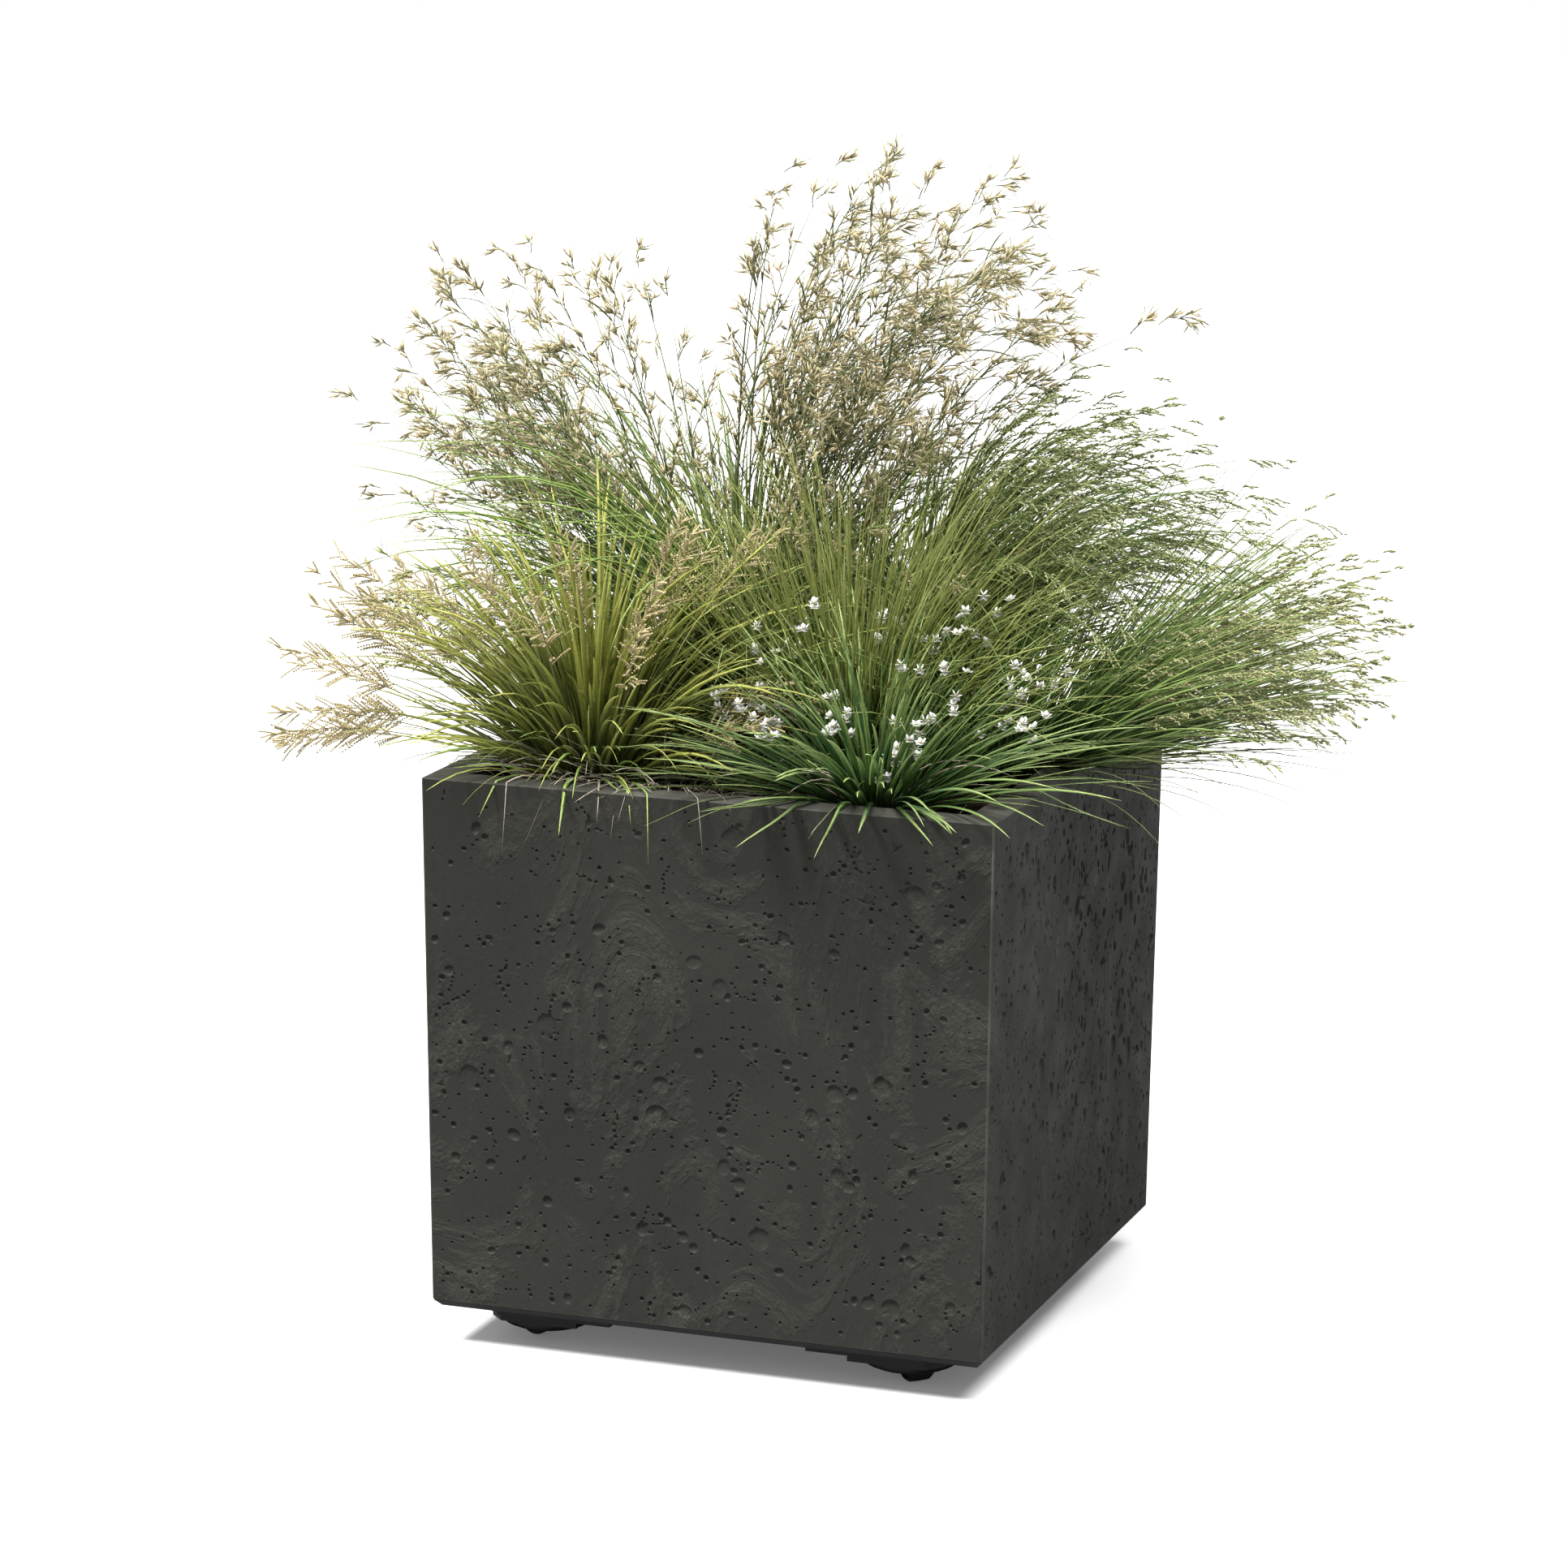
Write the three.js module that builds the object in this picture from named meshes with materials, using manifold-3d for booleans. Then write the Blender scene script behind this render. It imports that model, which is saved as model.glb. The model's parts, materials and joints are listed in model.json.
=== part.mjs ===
// Square wheeled planter box, planted up, in millimetres with +Z up.
// The origin is on the ground under the middle of the box; the front faces -Y.
//
// A drafted outer shell with a folded-in rim stands on a bevelled base tray. Four low castors hang
// under the tray, each in its own mount. A lift-out liner stands inside the shell and holds the
// soil, and six clumps of grass grow out of the soil.

import * as THREE from 'three'
import { mergeVertices } from 'three/addons/utils/BufferGeometryUtils.js'
import Module from 'manifold-3d'

// ---- Driving dimensions ---------------------------------------------------------------------

const WIDTH = 400 // across the rim, the same both ways
const SHELL_HEIGHT = 363
const SIDE_DRAFT = 3.9 // how far each side leans in from rim to foot
const EDGE_CHAMFER = 1.2 // on the four upright edges of the shell
const SHELL_WALL = 4
const SHELL_FLOOR = 6

const RIM_WIDTH = 24
const RIM_THICKNESS = 3.5
const RIM_SKIRT_HEIGHT = 16 // the lip folded down inside the rim
const RIM_SKIRT_WALL = 3

const PLATE_THICKNESS = 4.7 // the part of the tray seen under the shell
const PLATE_BEVEL = 4.5
const PLATE_INSET = 0.6 // from the foot of the shell to the top of the bevel
const TRAY_RISE = 14 // the part of the tray inside the foot of the shell
const TRAY_WALL = 3
const TRAY_RIB = 3
const TRAY_CLEARANCE = 0.6

const CASTOR_INSET_X = 69.5 // swivel axes, in from the sides of the rim
const CASTOR_INSET_Y = 54 // and from its front and back
const WHEEL_RADIUS = 12.5
const WHEEL_WIDTH = 17
const WHEEL_EDGE = 1.2 // chamfer on the wheel's two edges
const CASTOR_TRAIL = 8 // from the swivel axis to the wheel's axle
const WHEEL_CLEARANCE = 1
const AXLE_RADIUS = 2
const AXLE_SEAT = 5.5 // how far the axle runs into the housing on each side of the wheel
const RUNNING_CLEARANCE = 0.3
const SWIVEL_CLEARANCE = 0.6

const CUP_WALL = 2.5 // round the well for the wheel; the cup is the part of the housing inside the mount
const CUP_TOP_THICKNESS = 3.5
const CUP_HEIGHT = 14.8 // from the top of the dome
const DOME_OVERHANG = 7 // how far the dome stands out past the cup
const DOME_APEX_HEIGHT = 7 // lowest point of the domed housing, above the ground
const DOME_RIM_HEIGHT = 2.4 // the straight edge round the dome
const DOME_STEPS = 5
const KINGPIN_RADIUS = 4
const KINGPIN_HEAD_RADIUS = 6.5
const KINGPIN_HEAD_HEIGHT = 2.6
const KINGPIN_CHAMFER = 1
const KINGPIN_RECESS = 1.7 // below the top of the tray

const MOUNT_PAD_THICKNESS = 3
const MOUNT_BOSS_DEPTH = 6.2
const MOUNT_OUTER_WALL = 4.9 // from the mount's bore to its outer side
const MOUNT_SIDE_WALL = 8.4 // from the bore to the boss's front and back
const MOUNT_INNER_WALL = 6.9 // from the bore to the boss's inner side
const MOUNT_PAD_TAIL = 27 // the screwed part of the pad, past the boss
const MOUNT_PAD_STEP = 7 // how far the pad stands out past the boss's front
const MOUNT_CHAMFER = 10

const SCREW_RADIUS = 2
const SCREW_HEAD_RADIUS = 4
const SCREW_HEAD_HEIGHT = 2.4
const SCREW_HEAD_FLAT = 2.8 // radius of the flat part of the head
const SCREW_HEAD_EDGE = 1.2 // height of its straight edge
const SCREW_BOSS_RADIUS = 6.5
const SCREW_ENGAGEMENT = 5
const MOUNT_SCREW_SPACING = 50
const TRAY_SCREW_INSET = 30 // from the foot of the shell

const LINER_CLEARANCE = 3 // between the liner and the rim's opening
const LINER_BELOW_RIM = 12
const LINER_WALL = 3
const LINER_FLOOR = 3
const LINER_DRAFT = 5
const LINER_LIP_WIDTH = 1.8
const LINER_LIP_HEIGHT = 4
const DRAIN_HOLE_RADIUS = 6
const DRAIN_HOLE_SPACING = 90
const SOIL_BELOW_LINER = 7

const PLANTED_HALF = 169.6 // half-width of soil that the clumps are drawn for; they spread with it
const CROWN_RADIUS = 16 // the tuft that a clump's leaves spring from
const CROWN_TOP_RADIUS = 12
const CROWN_HEIGHT = 12
const STEM_ROOT_RADIUS = 6.4 // the ring that the stems start from
const STEM_ROOT_HEIGHT = 6 // above the foot of the crown
const STEM_BOW = 0.6 // height of the curve at the root, as a share of the stem's rise
const STEM_TIP_BOW = 0.21 // the same near the tip
const STEM_RADIUS = 2.4
const STEM_SIDES = 4
const STEM_STEPS = 6

const GAP = 0.3 // between pieces that touch
const OVERLAP = 1 // how far cutting tools and joined blocks pass the faces they meet
const ROUND_SEGMENTS = 32 // wheels, housings and their bores
const SMALL_SEGMENTS = 12 // pins, screws and their holes

// ---- Heights and half-widths that follow from them --------------------------------------------

const axleHeight = WHEEL_RADIUS
const kingpinHeadBottom = 2 * WHEEL_RADIUS + 2 * GAP
const wellTop = kingpinHeadBottom + KINGPIN_HEAD_HEIGHT + GAP
const cupTop = wellTop + CUP_TOP_THICKNESS
const domeTop = cupTop - CUP_HEIGHT
const mountBottom = domeTop + GAP
const padBottom = mountBottom + MOUNT_BOSS_DEPTH
const mountTop = padBottom + MOUNT_PAD_THICKNESS
const plateBottom = mountTop + GAP
const plateTop = plateBottom + PLATE_THICKNESS
const shellBottom = plateTop + GAP
const trayTop = plateTop + TRAY_RISE
const kingpinTop = trayTop - KINGPIN_RECESS
const recessTop = trayTop + GAP
const shellFloorTop = recessTop + SHELL_FLOOR
const rimTop = shellBottom + SHELL_HEIGHT
const rimUnderside = rimTop - RIM_THICKNESS

const rimHalf = WIDTH / 2
const footHalf = rimHalf - SIDE_DRAFT
const openingHalf = rimHalf - RIM_WIDTH
const plateHalfTop = footHalf - PLATE_INSET
const plateHalfBottom = plateHalfTop - PLATE_BEVEL
const trayHalf = footHalf - SHELL_WALL - TRAY_CLEARANCE
const outerHalfAt = z => footHalf + SIDE_DRAFT * (z - shellBottom) / SHELL_HEIGHT

const linerBottom = shellFloorTop + GAP
const linerTop = rimTop - LINER_BELOW_RIM
const linerHalfTop = openingHalf - LINER_CLEARANCE
const linerHalfBottom = linerHalfTop - LINER_DRAFT
const linerHalfAt = z => linerHalfBottom + LINER_DRAFT * (z - linerBottom) / (linerTop - linerBottom)
const soilBottom = linerBottom + LINER_FLOOR + GAP
const soilTop = linerTop - SOIL_BELOW_LINER
const crownBottom = soilTop + GAP

const soilHalfAt = z => linerHalfAt(z) - LINER_WALL - GAP

const castorX = rimHalf - CASTOR_INSET_X
const castorY = rimHalf - CASTOR_INSET_Y
const trayScrewReach = footHalf - TRAY_SCREW_INSET
const wellHalfLength = WHEEL_RADIUS + WHEEL_CLEARANCE
const wellHalfWidth = WHEEL_WIDTH / 2 + WHEEL_CLEARANCE
const axleLength = 2 * (wellHalfWidth + AXLE_SEAT)
const cupRadius = Math.hypot(CASTOR_TRAIL + wellHalfLength, wellHalfWidth) + CUP_WALL
const domeRadius = cupRadius + DOME_OVERHANG
const cupBoreRadius = cupRadius + SWIVEL_CLEARANCE
const mountOuter = cupBoreRadius + MOUNT_OUTER_WALL
const mountSide = cupBoreRadius + MOUNT_SIDE_WALL
const mountInner = cupBoreRadius + MOUNT_INNER_WALL
const kingpinBoreRadius = KINGPIN_RADIUS + RUNNING_CLEARANCE
const screwHoleRadius = SCREW_RADIUS + GAP

// ---- Materials --------------------------------------------------------------------------------

const material = (color, roughness, metalness = 0) =>
  new THREE.MeshStandardMaterial({ color, roughness, metalness })

const stoneEffect = material(0x3f403e, 0.72)
const blackPlastic = material(0x17171a, 0.5)
const wheelPlastic = material(0x26262a, 0.42)
const steel = material(0x9a9ca0, 0.3, 1)
const linerPlastic = material(0x2c2d2e, 0.6)
const earth = material(0x33261b, 0.95)
const leaf = color => material(color, 0.7)

// ---- Joining and cutting ------------------------------------------------------------------------

const manifold = await Module()
manifold.setup()

// A closed three.js geometry as a solid that can be joined and cut.
function solid(geometry) {
  const bare = geometry.clone()
  bare.deleteAttribute('normal')
  bare.deleteAttribute('uv')
  const merged = mergeVertices(bare, 1e-4)
  return new manifold.Manifold(new manifold.Mesh({
    numProp: 3,
    vertProperties: new Float32Array(merged.attributes.position.array),
    triVerts: new Uint32Array(merged.index.array)
  }))
}

function geometryOf(body) {
  const mesh = body.getMesh()
  const geometry = new THREE.BufferGeometry()
  geometry.setAttribute('position', new THREE.BufferAttribute(mesh.vertProperties, 3))
  geometry.setIndex(new THREE.BufferAttribute(mesh.triVerts, 1))
  geometry.computeVertexNormals()
  return geometry
}

const join = bodies => bodies.reduce((whole, body) => whole.add(body))
const cut = (body, tools) => tools.reduce((rest, tool) => rest.subtract(tool), body)

// A box between two heights, centred on (x, y).
function block(x, y, sizeX, sizeY, low, high) {
  return solid(new THREE.BoxGeometry(sizeX, sizeY, high - low).translate(x, y, (low + high) / 2))
}

// A square block whose half-width changes evenly from its low end to its high end.
function taperedBlock(lowHalf, highHalf, low, high) {
  const geometry = new THREE.CylinderGeometry(highHalf * Math.SQRT2, lowHalf * Math.SQRT2, high - low, 4)
  geometry.rotateY(Math.PI / 4).rotateX(Math.PI / 2).translate(0, 0, (low + high) / 2)
  return solid(geometry)
}

// An upright cylinder between two heights.
function post(x, y, radius, low, high, segments = ROUND_SEGMENTS) {
  const geometry = new THREE.CylinderGeometry(radius, radius, high - low, segments)
  return solid(geometry.rotateX(Math.PI / 2).translate(x, y, (low + high) / 2))
}

// A solid of revolution about the Z axis, from points of [radius, height].
function turned(points, segments = ROUND_SEGMENTS) {
  const profile = points.map(([radius, height]) => new THREE.Vector2(radius, height))
  return new THREE.LatheGeometry(profile, segments).rotateX(Math.PI / 2)
}

// ---- Scene graph --------------------------------------------------------------------------------

const planter = new THREE.Group()
planter.name = 'planter_box'

function place(name, geometry, finish, parent = planter) {
  const mesh = new THREE.Mesh(geometry, finish)
  mesh.name = name
  parent.add(mesh)
  return mesh
}

// ---- Places that repeat -------------------------------------------------------------------------

// The castors, with the way each one trails at rest, in degrees from +X.
const castors = [
  { name: 'front_left', sideX: -1, sideY: -1, trail: 170 },
  { name: 'front_right', sideX: 1, sideY: -1, trail: -45 },
  { name: 'back_left', sideX: -1, sideY: 1, trail: 65 },
  { name: 'back_right', sideX: 1, sideY: 1, trail: 140 }
]

const mountScrews = castors.flatMap(({ name, sideX, sideY }) => [-1, 1].map(side => ({
  name: `${name}_mount_screw_${side < 0 ? 'a' : 'b'}`,
  x: sideX * (castorX - mountInner - MOUNT_PAD_TAIL / 2),
  y: sideY * castorY + side * MOUNT_SCREW_SPACING / 2
})))

const trayScrews = [
  { name: 'tray_screw_left', x: -trayScrewReach, y: 0 },
  { name: 'tray_screw_right', x: trayScrewReach, y: 0 },
  { name: 'tray_screw_front', x: 0, y: -trayScrewReach },
  { name: 'tray_screw_back', x: 0, y: trayScrewReach }
]

// ---- Outer shell ----------------------------------------------------------------------------------

function outerShell() {
  const outside = taperedBlock(footHalf, rimHalf, shellBottom, rimTop)
  // Turned through 45 degrees, a second block trims the four upright edges.
  const trim = new THREE.CylinderGeometry(
    2 * rimHalf - EDGE_CHAMFER,
    2 * footHalf - EDGE_CHAMFER,
    SHELL_HEIGHT,
    4
  )
  trim.rotateX(Math.PI / 2).translate(0, 0, (shellBottom + rimTop) / 2)
  const body = outside.intersect(solid(trim))
  const inside = taperedBlock(
    outerHalfAt(shellFloorTop) - SHELL_WALL,
    outerHalfAt(rimUnderside) - SHELL_WALL,
    shellFloorTop,
    rimUnderside
  )
  const recess = taperedBlock(
    outerHalfAt(shellBottom - OVERLAP) - SHELL_WALL,
    outerHalfAt(recessTop) - SHELL_WALL,
    shellBottom - OVERLAP,
    recessTop
  )
  const skirtHalf = openingHalf + RIM_SKIRT_WALL
  const skirtBottom = rimUnderside - RIM_SKIRT_HEIGHT
  const skirt = taperedBlock(skirtHalf, skirtHalf, skirtBottom, rimUnderside + OVERLAP)
  const opening = taperedBlock(openingHalf, openingHalf, skirtBottom - OVERLAP, rimTop + OVERLAP)
  const pilots = trayScrews.map(({ x, y }) =>
    post(x, y, screwHoleRadius, recessTop - OVERLAP, recessTop + SCREW_ENGAGEMENT, SMALL_SEGMENTS))
  return cut(cut(body, [inside, recess, ...pilots]).add(skirt), [opening])
}

place('outer_shell', geometryOf(outerShell()), stoneEffect)

// ---- Base tray ------------------------------------------------------------------------------------

function baseTray() {
  const plate = taperedBlock(plateHalfBottom, plateHalfTop, plateBottom, plateTop)
  const raised = taperedBlock(trayHalf, trayHalf, plateTop - OVERLAP, trayTop)
  const pocket = taperedBlock(trayHalf - TRAY_WALL, trayHalf - TRAY_WALL, plateTop, trayTop + OVERLAP)
  const wall = raised.subtract(pocket)
  const ribs = [
    block(0, 0, 2 * trayHalf - TRAY_WALL, TRAY_RIB, plateTop - OVERLAP, trayTop),
    block(0, 0, TRAY_RIB, 2 * trayHalf - TRAY_WALL, plateTop - OVERLAP, trayTop)
  ]
  const turrets = castors.map(({ sideX, sideY }) =>
    post(sideX * castorX, sideY * castorY, cupBoreRadius + TRAY_WALL, plateTop - OVERLAP, trayTop))
  const screws = [...mountScrews, ...trayScrews]
  const bosses = screws.map(({ x, y }) =>
    post(x, y, SCREW_BOSS_RADIUS, plateTop - OVERLAP, trayTop, SMALL_SEGMENTS))
  const cupBores = castors.map(({ sideX, sideY }) =>
    post(sideX * castorX, sideY * castorY, cupBoreRadius, plateBottom - OVERLAP, cupTop + SWIVEL_CLEARANCE))
  const kingpinBores = castors.map(({ sideX, sideY }) =>
    post(sideX * castorX, sideY * castorY, kingpinBoreRadius, cupTop, trayTop + OVERLAP, SMALL_SEGMENTS))
  const holes = screws.map(({ x, y }) =>
    post(x, y, screwHoleRadius, plateBottom - OVERLAP, trayTop + OVERLAP, SMALL_SEGMENTS))
  return cut(join([plate, wall, ...ribs, ...turrets, ...bosses]), [...cupBores, ...kingpinBores, ...holes])
}

place('base_tray', geometryOf(baseTray()), blackPlastic)

// ---- Castor mounts --------------------------------------------------------------------------------

// A rectangular slab with its outer front corner cut off, extruded upwards.
function corneredSlab(left, right, front, back, corner, low, high) {
  const outline = new THREE.Shape([
    new THREE.Vector2(left + corner, front),
    new THREE.Vector2(right, front),
    new THREE.Vector2(right, back),
    new THREE.Vector2(left, back),
    new THREE.Vector2(left, front + corner)
  ])
  const geometry = new THREE.ExtrudeGeometry(outline, { depth: high - low, bevelEnabled: false })
  return solid(geometry.translate(0, 0, low))
}

// Drawn for the front left corner, about its own swivel axis.
function castorMount() {
  const pad = corneredSlab(
    -mountOuter,
    mountInner + MOUNT_PAD_TAIL,
    -mountSide - MOUNT_PAD_STEP,
    mountSide + MOUNT_PAD_STEP,
    MOUNT_CHAMFER,
    padBottom,
    mountTop
  )
  const boss = corneredSlab(
    -mountOuter,
    mountInner,
    -mountSide,
    mountSide,
    MOUNT_CHAMFER,
    mountBottom,
    padBottom + OVERLAP
  )
  const holes = [-1, 1].map(side => post(
    mountInner + MOUNT_PAD_TAIL / 2,
    side * MOUNT_SCREW_SPACING / 2,
    screwHoleRadius,
    padBottom - OVERLAP,
    mountTop + OVERLAP,
    SMALL_SEGMENTS
  ))
  const bore = post(0, 0, cupBoreRadius, mountBottom - OVERLAP, mountTop + OVERLAP)
  return cut(pad.add(boss), [bore, ...holes])
}

const mountSolid = castorMount()
for (const { name, sideX, sideY } of castors) {
  const mirrored = mountSolid.scale([-sideX, -sideY, 1])
  const mesh = place(`${name}_castor_mount`, geometryOf(mirrored), blackPlastic)
  mesh.position.set(sideX * castorX, sideY * castorY, 0)
}

// ---- Screws ---------------------------------------------------------------------------------------

// A pan-head screw with its head down and its seat at height 0.
function screw(length) {
  return turned([
    [0, -SCREW_HEAD_HEIGHT],
    [SCREW_HEAD_FLAT, -SCREW_HEAD_HEIGHT],
    [SCREW_HEAD_RADIUS, -SCREW_HEAD_EDGE],
    [SCREW_HEAD_RADIUS, 0],
    [SCREW_RADIUS, 0],
    [SCREW_RADIUS, length - SCREW_RADIUS],
    [0, length]
  ], SMALL_SEGMENTS)
}

for (const { name, x, y } of mountScrews) {
  const mesh = place(name, screw(trayTop - padBottom - GAP), steel)
  mesh.position.set(x, y, padBottom - GAP)
}
for (const { name, x, y } of trayScrews) {
  const mesh = place(name, screw(recessTop + SCREW_ENGAGEMENT - plateBottom - GAP), steel)
  mesh.position.set(x, y, plateBottom - GAP)
}

// ---- Castors --------------------------------------------------------------------------------------

// The domed swivel housing, trailing towards +X, with a well for the wheel.
function castorHousing() {
  const domeRise = domeTop - DOME_RIM_HEIGHT - DOME_APEX_HEIGHT
  const dome = Array.from({ length: DOME_STEPS + 1 }, (_, step) => {
    const angle = (Math.PI / 2) * step / DOME_STEPS
    return [domeRadius * Math.sin(angle), DOME_APEX_HEIGHT + domeRise * (1 - Math.cos(angle))]
  })
  const body = solid(turned([
    ...dome,
    [domeRadius, domeTop],
    [cupRadius, domeTop],
    [cupRadius, cupTop],
    [0, cupTop]
  ]))
  const well = block(
    CASTOR_TRAIL,
    0,
    2 * wellHalfLength,
    2 * wellHalfWidth,
    0,
    wellTop
  )
  const headRoom = post(0, 0, KINGPIN_HEAD_RADIUS + GAP, kingpinHeadBottom - GAP, wellTop, SMALL_SEGMENTS)
  const pinBore = post(0, 0, kingpinBoreRadius, wellTop - OVERLAP, cupTop + OVERLAP, SMALL_SEGMENTS)
  // The axle goes in from one side, so its bore runs out through the dome there.
  const boreLength = axleLength / 2 + GAP + domeRadius
  const boreRadius = AXLE_RADIUS + RUNNING_CLEARANCE
  const axleBore = new THREE.CylinderGeometry(boreRadius, boreRadius, boreLength, SMALL_SEGMENTS)
  axleBore.translate(CASTOR_TRAIL, boreLength / 2 - axleLength / 2 - GAP, axleHeight)
  return cut(body, [well, headRoom, pinBore, solid(axleBore)])
}

// The kingpin, head down, which joins the housing to the tray.
function kingpin() {
  return turned([
    [0, kingpinHeadBottom],
    [KINGPIN_HEAD_RADIUS, kingpinHeadBottom],
    [KINGPIN_HEAD_RADIUS, kingpinHeadBottom + KINGPIN_HEAD_HEIGHT],
    [KINGPIN_RADIUS, kingpinHeadBottom + KINGPIN_HEAD_HEIGHT],
    [KINGPIN_RADIUS, kingpinTop - KINGPIN_CHAMFER],
    [KINGPIN_RADIUS - KINGPIN_CHAMFER, kingpinTop],
    [0, kingpinTop]
  ], SMALL_SEGMENTS)
}

// A wheel about its own axle, which lies along Y.
function castorWheel() {
  const half = WHEEL_WIDTH / 2
  const bore = AXLE_RADIUS + RUNNING_CLEARANCE
  const profile = [
    [bore, -half],
    [WHEEL_RADIUS - WHEEL_EDGE, -half],
    [WHEEL_RADIUS, -half + WHEEL_EDGE],
    [WHEEL_RADIUS, half - WHEEL_EDGE],
    [WHEEL_RADIUS - WHEEL_EDGE, half],
    [bore, half],
    [bore, -half]
  ].map(([radius, across]) => new THREE.Vector2(radius, across))
  return new THREE.LatheGeometry(profile, ROUND_SEGMENTS)
}

const housingGeometry = geometryOf(castorHousing())
const kingpinGeometry = kingpin()
const axleGeometry = new THREE.CylinderGeometry(AXLE_RADIUS, AXLE_RADIUS, axleLength, SMALL_SEGMENTS)
const wheelGeometry = castorWheel()

for (const { name, sideX, sideY, trail } of castors) {
  const castor = new THREE.Group()
  castor.position.set(sideX * castorX, sideY * castorY, 0)
  castor.rotation.z = THREE.MathUtils.degToRad(trail)
  planter.add(castor)
  place(`${name}_castor_housing`, housingGeometry, blackPlastic, castor)
  place(`${name}_kingpin`, kingpinGeometry, steel, castor)
  place(`${name}_axle`, axleGeometry, steel, castor).position.set(CASTOR_TRAIL, 0, axleHeight)
  place(`${name}_wheel`, wheelGeometry, wheelPlastic, castor).position.set(CASTOR_TRAIL, 0, axleHeight)
}

// ---- Liner and soil -------------------------------------------------------------------------------

function liner() {
  const outside = taperedBlock(linerHalfBottom, linerHalfTop, linerBottom, linerTop)
  const lipHalf = linerHalfTop + LINER_LIP_WIDTH
  const lip = taperedBlock(lipHalf, lipHalf, linerTop - LINER_LIP_HEIGHT, linerTop)
  const insideBottom = linerBottom + LINER_FLOOR
  const inside = taperedBlock(
    linerHalfAt(insideBottom) - LINER_WALL,
    linerHalfAt(linerTop + OVERLAP) - LINER_WALL,
    insideBottom,
    linerTop + OVERLAP
  )
  const drains = [[0, 0], [-1, -1], [1, -1], [-1, 1], [1, 1]].map(([x, y]) => post(
    x * DRAIN_HOLE_SPACING,
    y * DRAIN_HOLE_SPACING,
    DRAIN_HOLE_RADIUS,
    linerBottom - OVERLAP,
    insideBottom + OVERLAP,
    SMALL_SEGMENTS
  ))
  return cut(outside.add(lip), [inside, ...drains])
}

place('liner_pot', geometryOf(liner()), linerPlastic)

const soil = taperedBlock(soilHalfAt(soilBottom), soilHalfAt(soilTop), soilBottom, soilTop)
place('potting_soil', geometryOf(soil), earth)

// ---- Plants ---------------------------------------------------------------------------------------

// Each clump is a crown with stems that rise from it and arch outwards. A stem's tip is the clump's
// middle moved by lean, plus spread along its own direction; rise is its height over the soil, and
// fall is how much lower the tips sit on the side that the clump leans to.
const clumps = [
  {
    name: 'tall_oat_grass', color: 0x9c9a66, x: -62, y: 62, stems: 9, turn: 8,
    leanX: -55, leanY: 20, spreadX: 205, spreadY: 140, rise: 340, fall: -80
  },
  {
    name: 'green_panic_grass', color: 0x5f7440, x: 48, y: 98, stems: 8, turn: 10,
    leanX: 110, leanY: 20, spreadX: 90, spreadY: 90, rise: 222, fall: 43
  },
  {
    name: 'fine_feather_grass', color: 0x8a9440, x: 44, y: -14, stems: 7, turn: 20,
    leanX: 20, leanY: -10, spreadX: 70, spreadY: 40, rise: 235, fall: 10
  },
  {
    name: 'broad_sedge', color: 0x6f6f35, x: -116, y: -98, stems: 9, turn: 12,
    leanX: -35, leanY: -30, spreadX: 140, spreadY: 100, rise: 158, fall: -24
  },
  {
    name: 'white_lilyturf', color: 0x4e7a3a, x: 88, y: -104, stems: 9, turn: 0,
    leanX: 35, leanY: -35, spreadX: 140, spreadY: 105, rise: 75, fall: 8
  },
  {
    name: 'fountain_grass', color: 0x6d8046, x: 134, y: 24, stems: 9, turn: 20,
    leanX: 158, leanY: 5, spreadX: 110, spreadY: 120, rise: 206, fall: 94
  }
]

function stem(start, tip, rise) {
  const path = new THREE.CubicBezierCurve3(
    start,
    new THREE.Vector3(start.x, start.y, start.z + rise * STEM_BOW),
    new THREE.Vector3((start.x + 2 * tip.x) / 3, (start.y + 2 * tip.y) / 3, tip.z + rise * STEM_TIP_BOW),
    tip
  )
  const section = new THREE.Shape(Array.from({ length: STEM_SIDES }, (_, side) => {
    const angle = 2 * Math.PI * side / STEM_SIDES
    return new THREE.Vector2(STEM_RADIUS * Math.cos(angle), STEM_RADIUS * Math.sin(angle))
  }))
  const options = { steps: STEM_STEPS, extrudePath: path, bevelEnabled: false }
  return solid(new THREE.ExtrudeGeometry(section, options))
}

const spacing = soilHalfAt(soilTop) / PLANTED_HALF

function clump({ x, y, stems, turn, leanX, leanY, spreadX, spreadY, rise, fall }) {
  const crown = solid(turned([
    [0, crownBottom],
    [CROWN_RADIUS, crownBottom],
    [CROWN_TOP_RADIUS, crownBottom + CROWN_HEIGHT],
    [0, crownBottom + CROWN_HEIGHT]
  ], SMALL_SEGMENTS).translate(x * spacing, y * spacing, 0))
  const stalks = Array.from({ length: stems }, (_, index) => {
    const angle = 2 * Math.PI * index / stems + THREE.MathUtils.degToRad(turn)
    const outX = Math.cos(angle)
    const outY = Math.sin(angle)
    const start = new THREE.Vector3(
      x * spacing + outX * STEM_ROOT_RADIUS,
      y * spacing + outY * STEM_ROOT_RADIUS,
      crownBottom + STEM_ROOT_HEIGHT
    )
    const tip = new THREE.Vector3(
      (x + leanX + spreadX * outX) * spacing,
      (y + leanY + spreadY * outY) * spacing,
      soilTop + rise - fall * outX
    )
    return stem(start, tip, rise)
  })
  return join([crown, ...stalks])
}

for (const plant of clumps) {
  place(plant.name, geometryOf(clump(plant)), leaf(plant.color))
}

export default planter
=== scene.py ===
"""Looks for the wheeled planter box: camera, materials, weathered shell, castor wheels, soil and grasses.

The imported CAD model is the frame. Lengths here are in metres, +Z up, with the front of the box facing -Y.
"""

import json
import math

import bpy
import numpy as np
from mathutils import Matrix, Vector
from mathutils.geometry import delaunay_2d_cdt


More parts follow.
